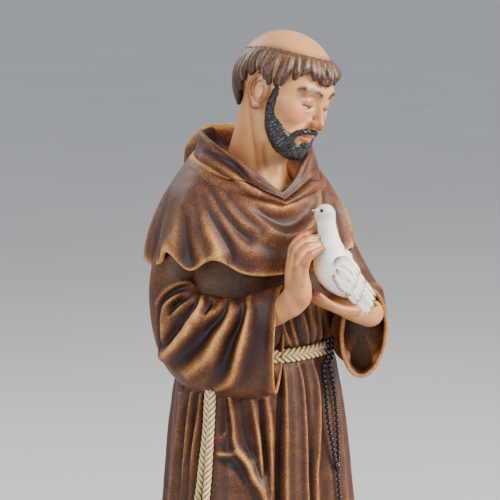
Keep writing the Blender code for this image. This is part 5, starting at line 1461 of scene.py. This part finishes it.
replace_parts(strung("rosary_loop", ROSARY_LOOP), "rosary")
strung("rosary_drop", ROSARY_DROP)
joint = clear_of_cloth([(36.0, 215), (36.0, 214)], CROSS_OFF)[0]
medal = clay(joint - 4, joint + 4, 0.25)
egg(medal, joint, (MEDAL / 2, MEDAL / 2, 0.6 * MEDAL))
cast_object("medal", medal, bead_paint, slot="black_beads")
head_end, foot_end = clear_of_cloth([(36.4, 180), (36.4, 180 - CROSS_LONG)], CROSS_OFF)[[0, -1]]
down = (foot_end - head_end) / np.linalg.norm(foot_end - head_end)
aside = np.cross(down, head_end * [1, 1, 0])
aside /= np.linalg.norm(aside)
heart = head_end + down * 0.34 * CROSS_LONG
cross = clay(np.minimum(head_end, foot_end) - 8, np.maximum(head_end, foot_end) + 8, 0.3)
roll(cross, [(*head_end, CROSS_BAR), (*foot_end, CROSS_BAR)], blend=0.3)
roll(cross, [(*(heart + aside * CROSS_WIDE * end), CROSS_BAR) for end in (-0.5, 0.5)], blend=0.3)
cast_object("cross", cross, bead_paint, slot="black_beads")

# The feet in sandals, their toes showing under the hem: carved in the casting, on top of the base,
# and painted as the hands are, with dark brown soles and straps.

feet = clay((-42, -70, -3), (38, -34, 14), 0.7)
# Each foot's middle and side, and the toes' lengths and radii from the big one to the small one
FEET = [(-25.5, -1), (20.0, 1)]
TOES = [(3.8, 2.1), (4.6, 1.5), (4.0, 1.5), (3.0, 1.4), (1.6, 1.3)]
STRAP = 7.2
leather = []
for x, side in FEET:
    roll(feet, [(x, -42, 4.0, 6.0), (x + 0.6 * side, -55, 3.0, 5.2)], blend=2)
    egg(feet, (x + 0.5 * side, -53, 0.3), (8.4, 14.5, 1.4), blend=0.4)
    for k, (reach, thick) in enumerate(TOES):
        toe = x + side * (-5.0 + 2.6 * k)
        roll(feet, [(toe, -56, 2.8, thick), (toe + 0.3 * side, -58.5 - 0.6 * reach, 2.9, thick),
                    (toe + 0.4 * side, -59.5 - reach, 2.0, thick)], blend=0.35)
    strap = [(x + STRAP * math.cos(t), -55.5, 1.5 + STRAP * math.sin(t), 0.9)
             for t in np.linspace(0.0, math.pi, 9)]
    roll(feet, strap, blend=0.3)
    sole = [(x - 7, -44, 0.3), (x - 7, -62, 0.3), (x + 7, -62, 0.3), (x + 7, -44, 0.3)]
    over_foot = [(x + STRAP * math.cos(t), -55.5, 2.2 + STRAP * math.sin(t))
                 for t in (0.2, 0.8, 1.57, 2.3, 2.9)]
    leather += [(sole, 2.6, BROW_BROWN, 0.95), (over_foot, 1.5, BROW_BROWN, 0.95)]
cast_object("feet", feet, skin_paint, spots=leather, **{**SKIN_RELIEF, "fine_full": 0.3})

# The base: a low round plinth with softened edges, cast in one with the figure.
# It is painted as the habit is, in a darker brown.

BASE_RADIUS, BASE_CORNER = 72.0, 2.5
corner = np.radians(np.linspace(0, 90, 9))
profile = [(0.3, -BASE_TOP), (0.5 * BASE_RADIUS, -BASE_TOP), (BASE_RADIUS - BASE_CORNER, -BASE_TOP)]
profile += [(BASE_RADIUS - BASE_CORNER * (1 - math.sin(c)), -BASE_TOP + BASE_CORNER * (1 - math.cos(c)))
            for c in corner[1:]]
profile += [(BASE_RADIUS, z) for z in np.linspace(-BASE_TOP + BASE_CORNER, -BASE_CORNER, 14)[1:-1]]
profile += [(BASE_RADIUS - BASE_CORNER * (1 - math.cos(c)), -BASE_CORNER * (1 - math.sin(c))) for c in corner]
profile += [(r, 0.0) for r in np.linspace(BASE_RADIUS - BASE_CORNER, 0.3, 24)[1:]]
turn = np.linspace(0, 2 * math.pi, 180, endpoint=False)
rings = np.array([np.stack([r * np.sin(turn), -r * np.cos(turn), z + 0 * turn], 1) for r, z in profile])
BASE_COLOURS = [(place, tuple(0.6 * c for c in colour)) for place, colour in CLOTH_COLOURS]
base_paint = washed_and_shaded_paint("base_paint", BASE_COLOURS, 0.45)
add_relief(mesh_object("base", *loft(rings), base_paint))
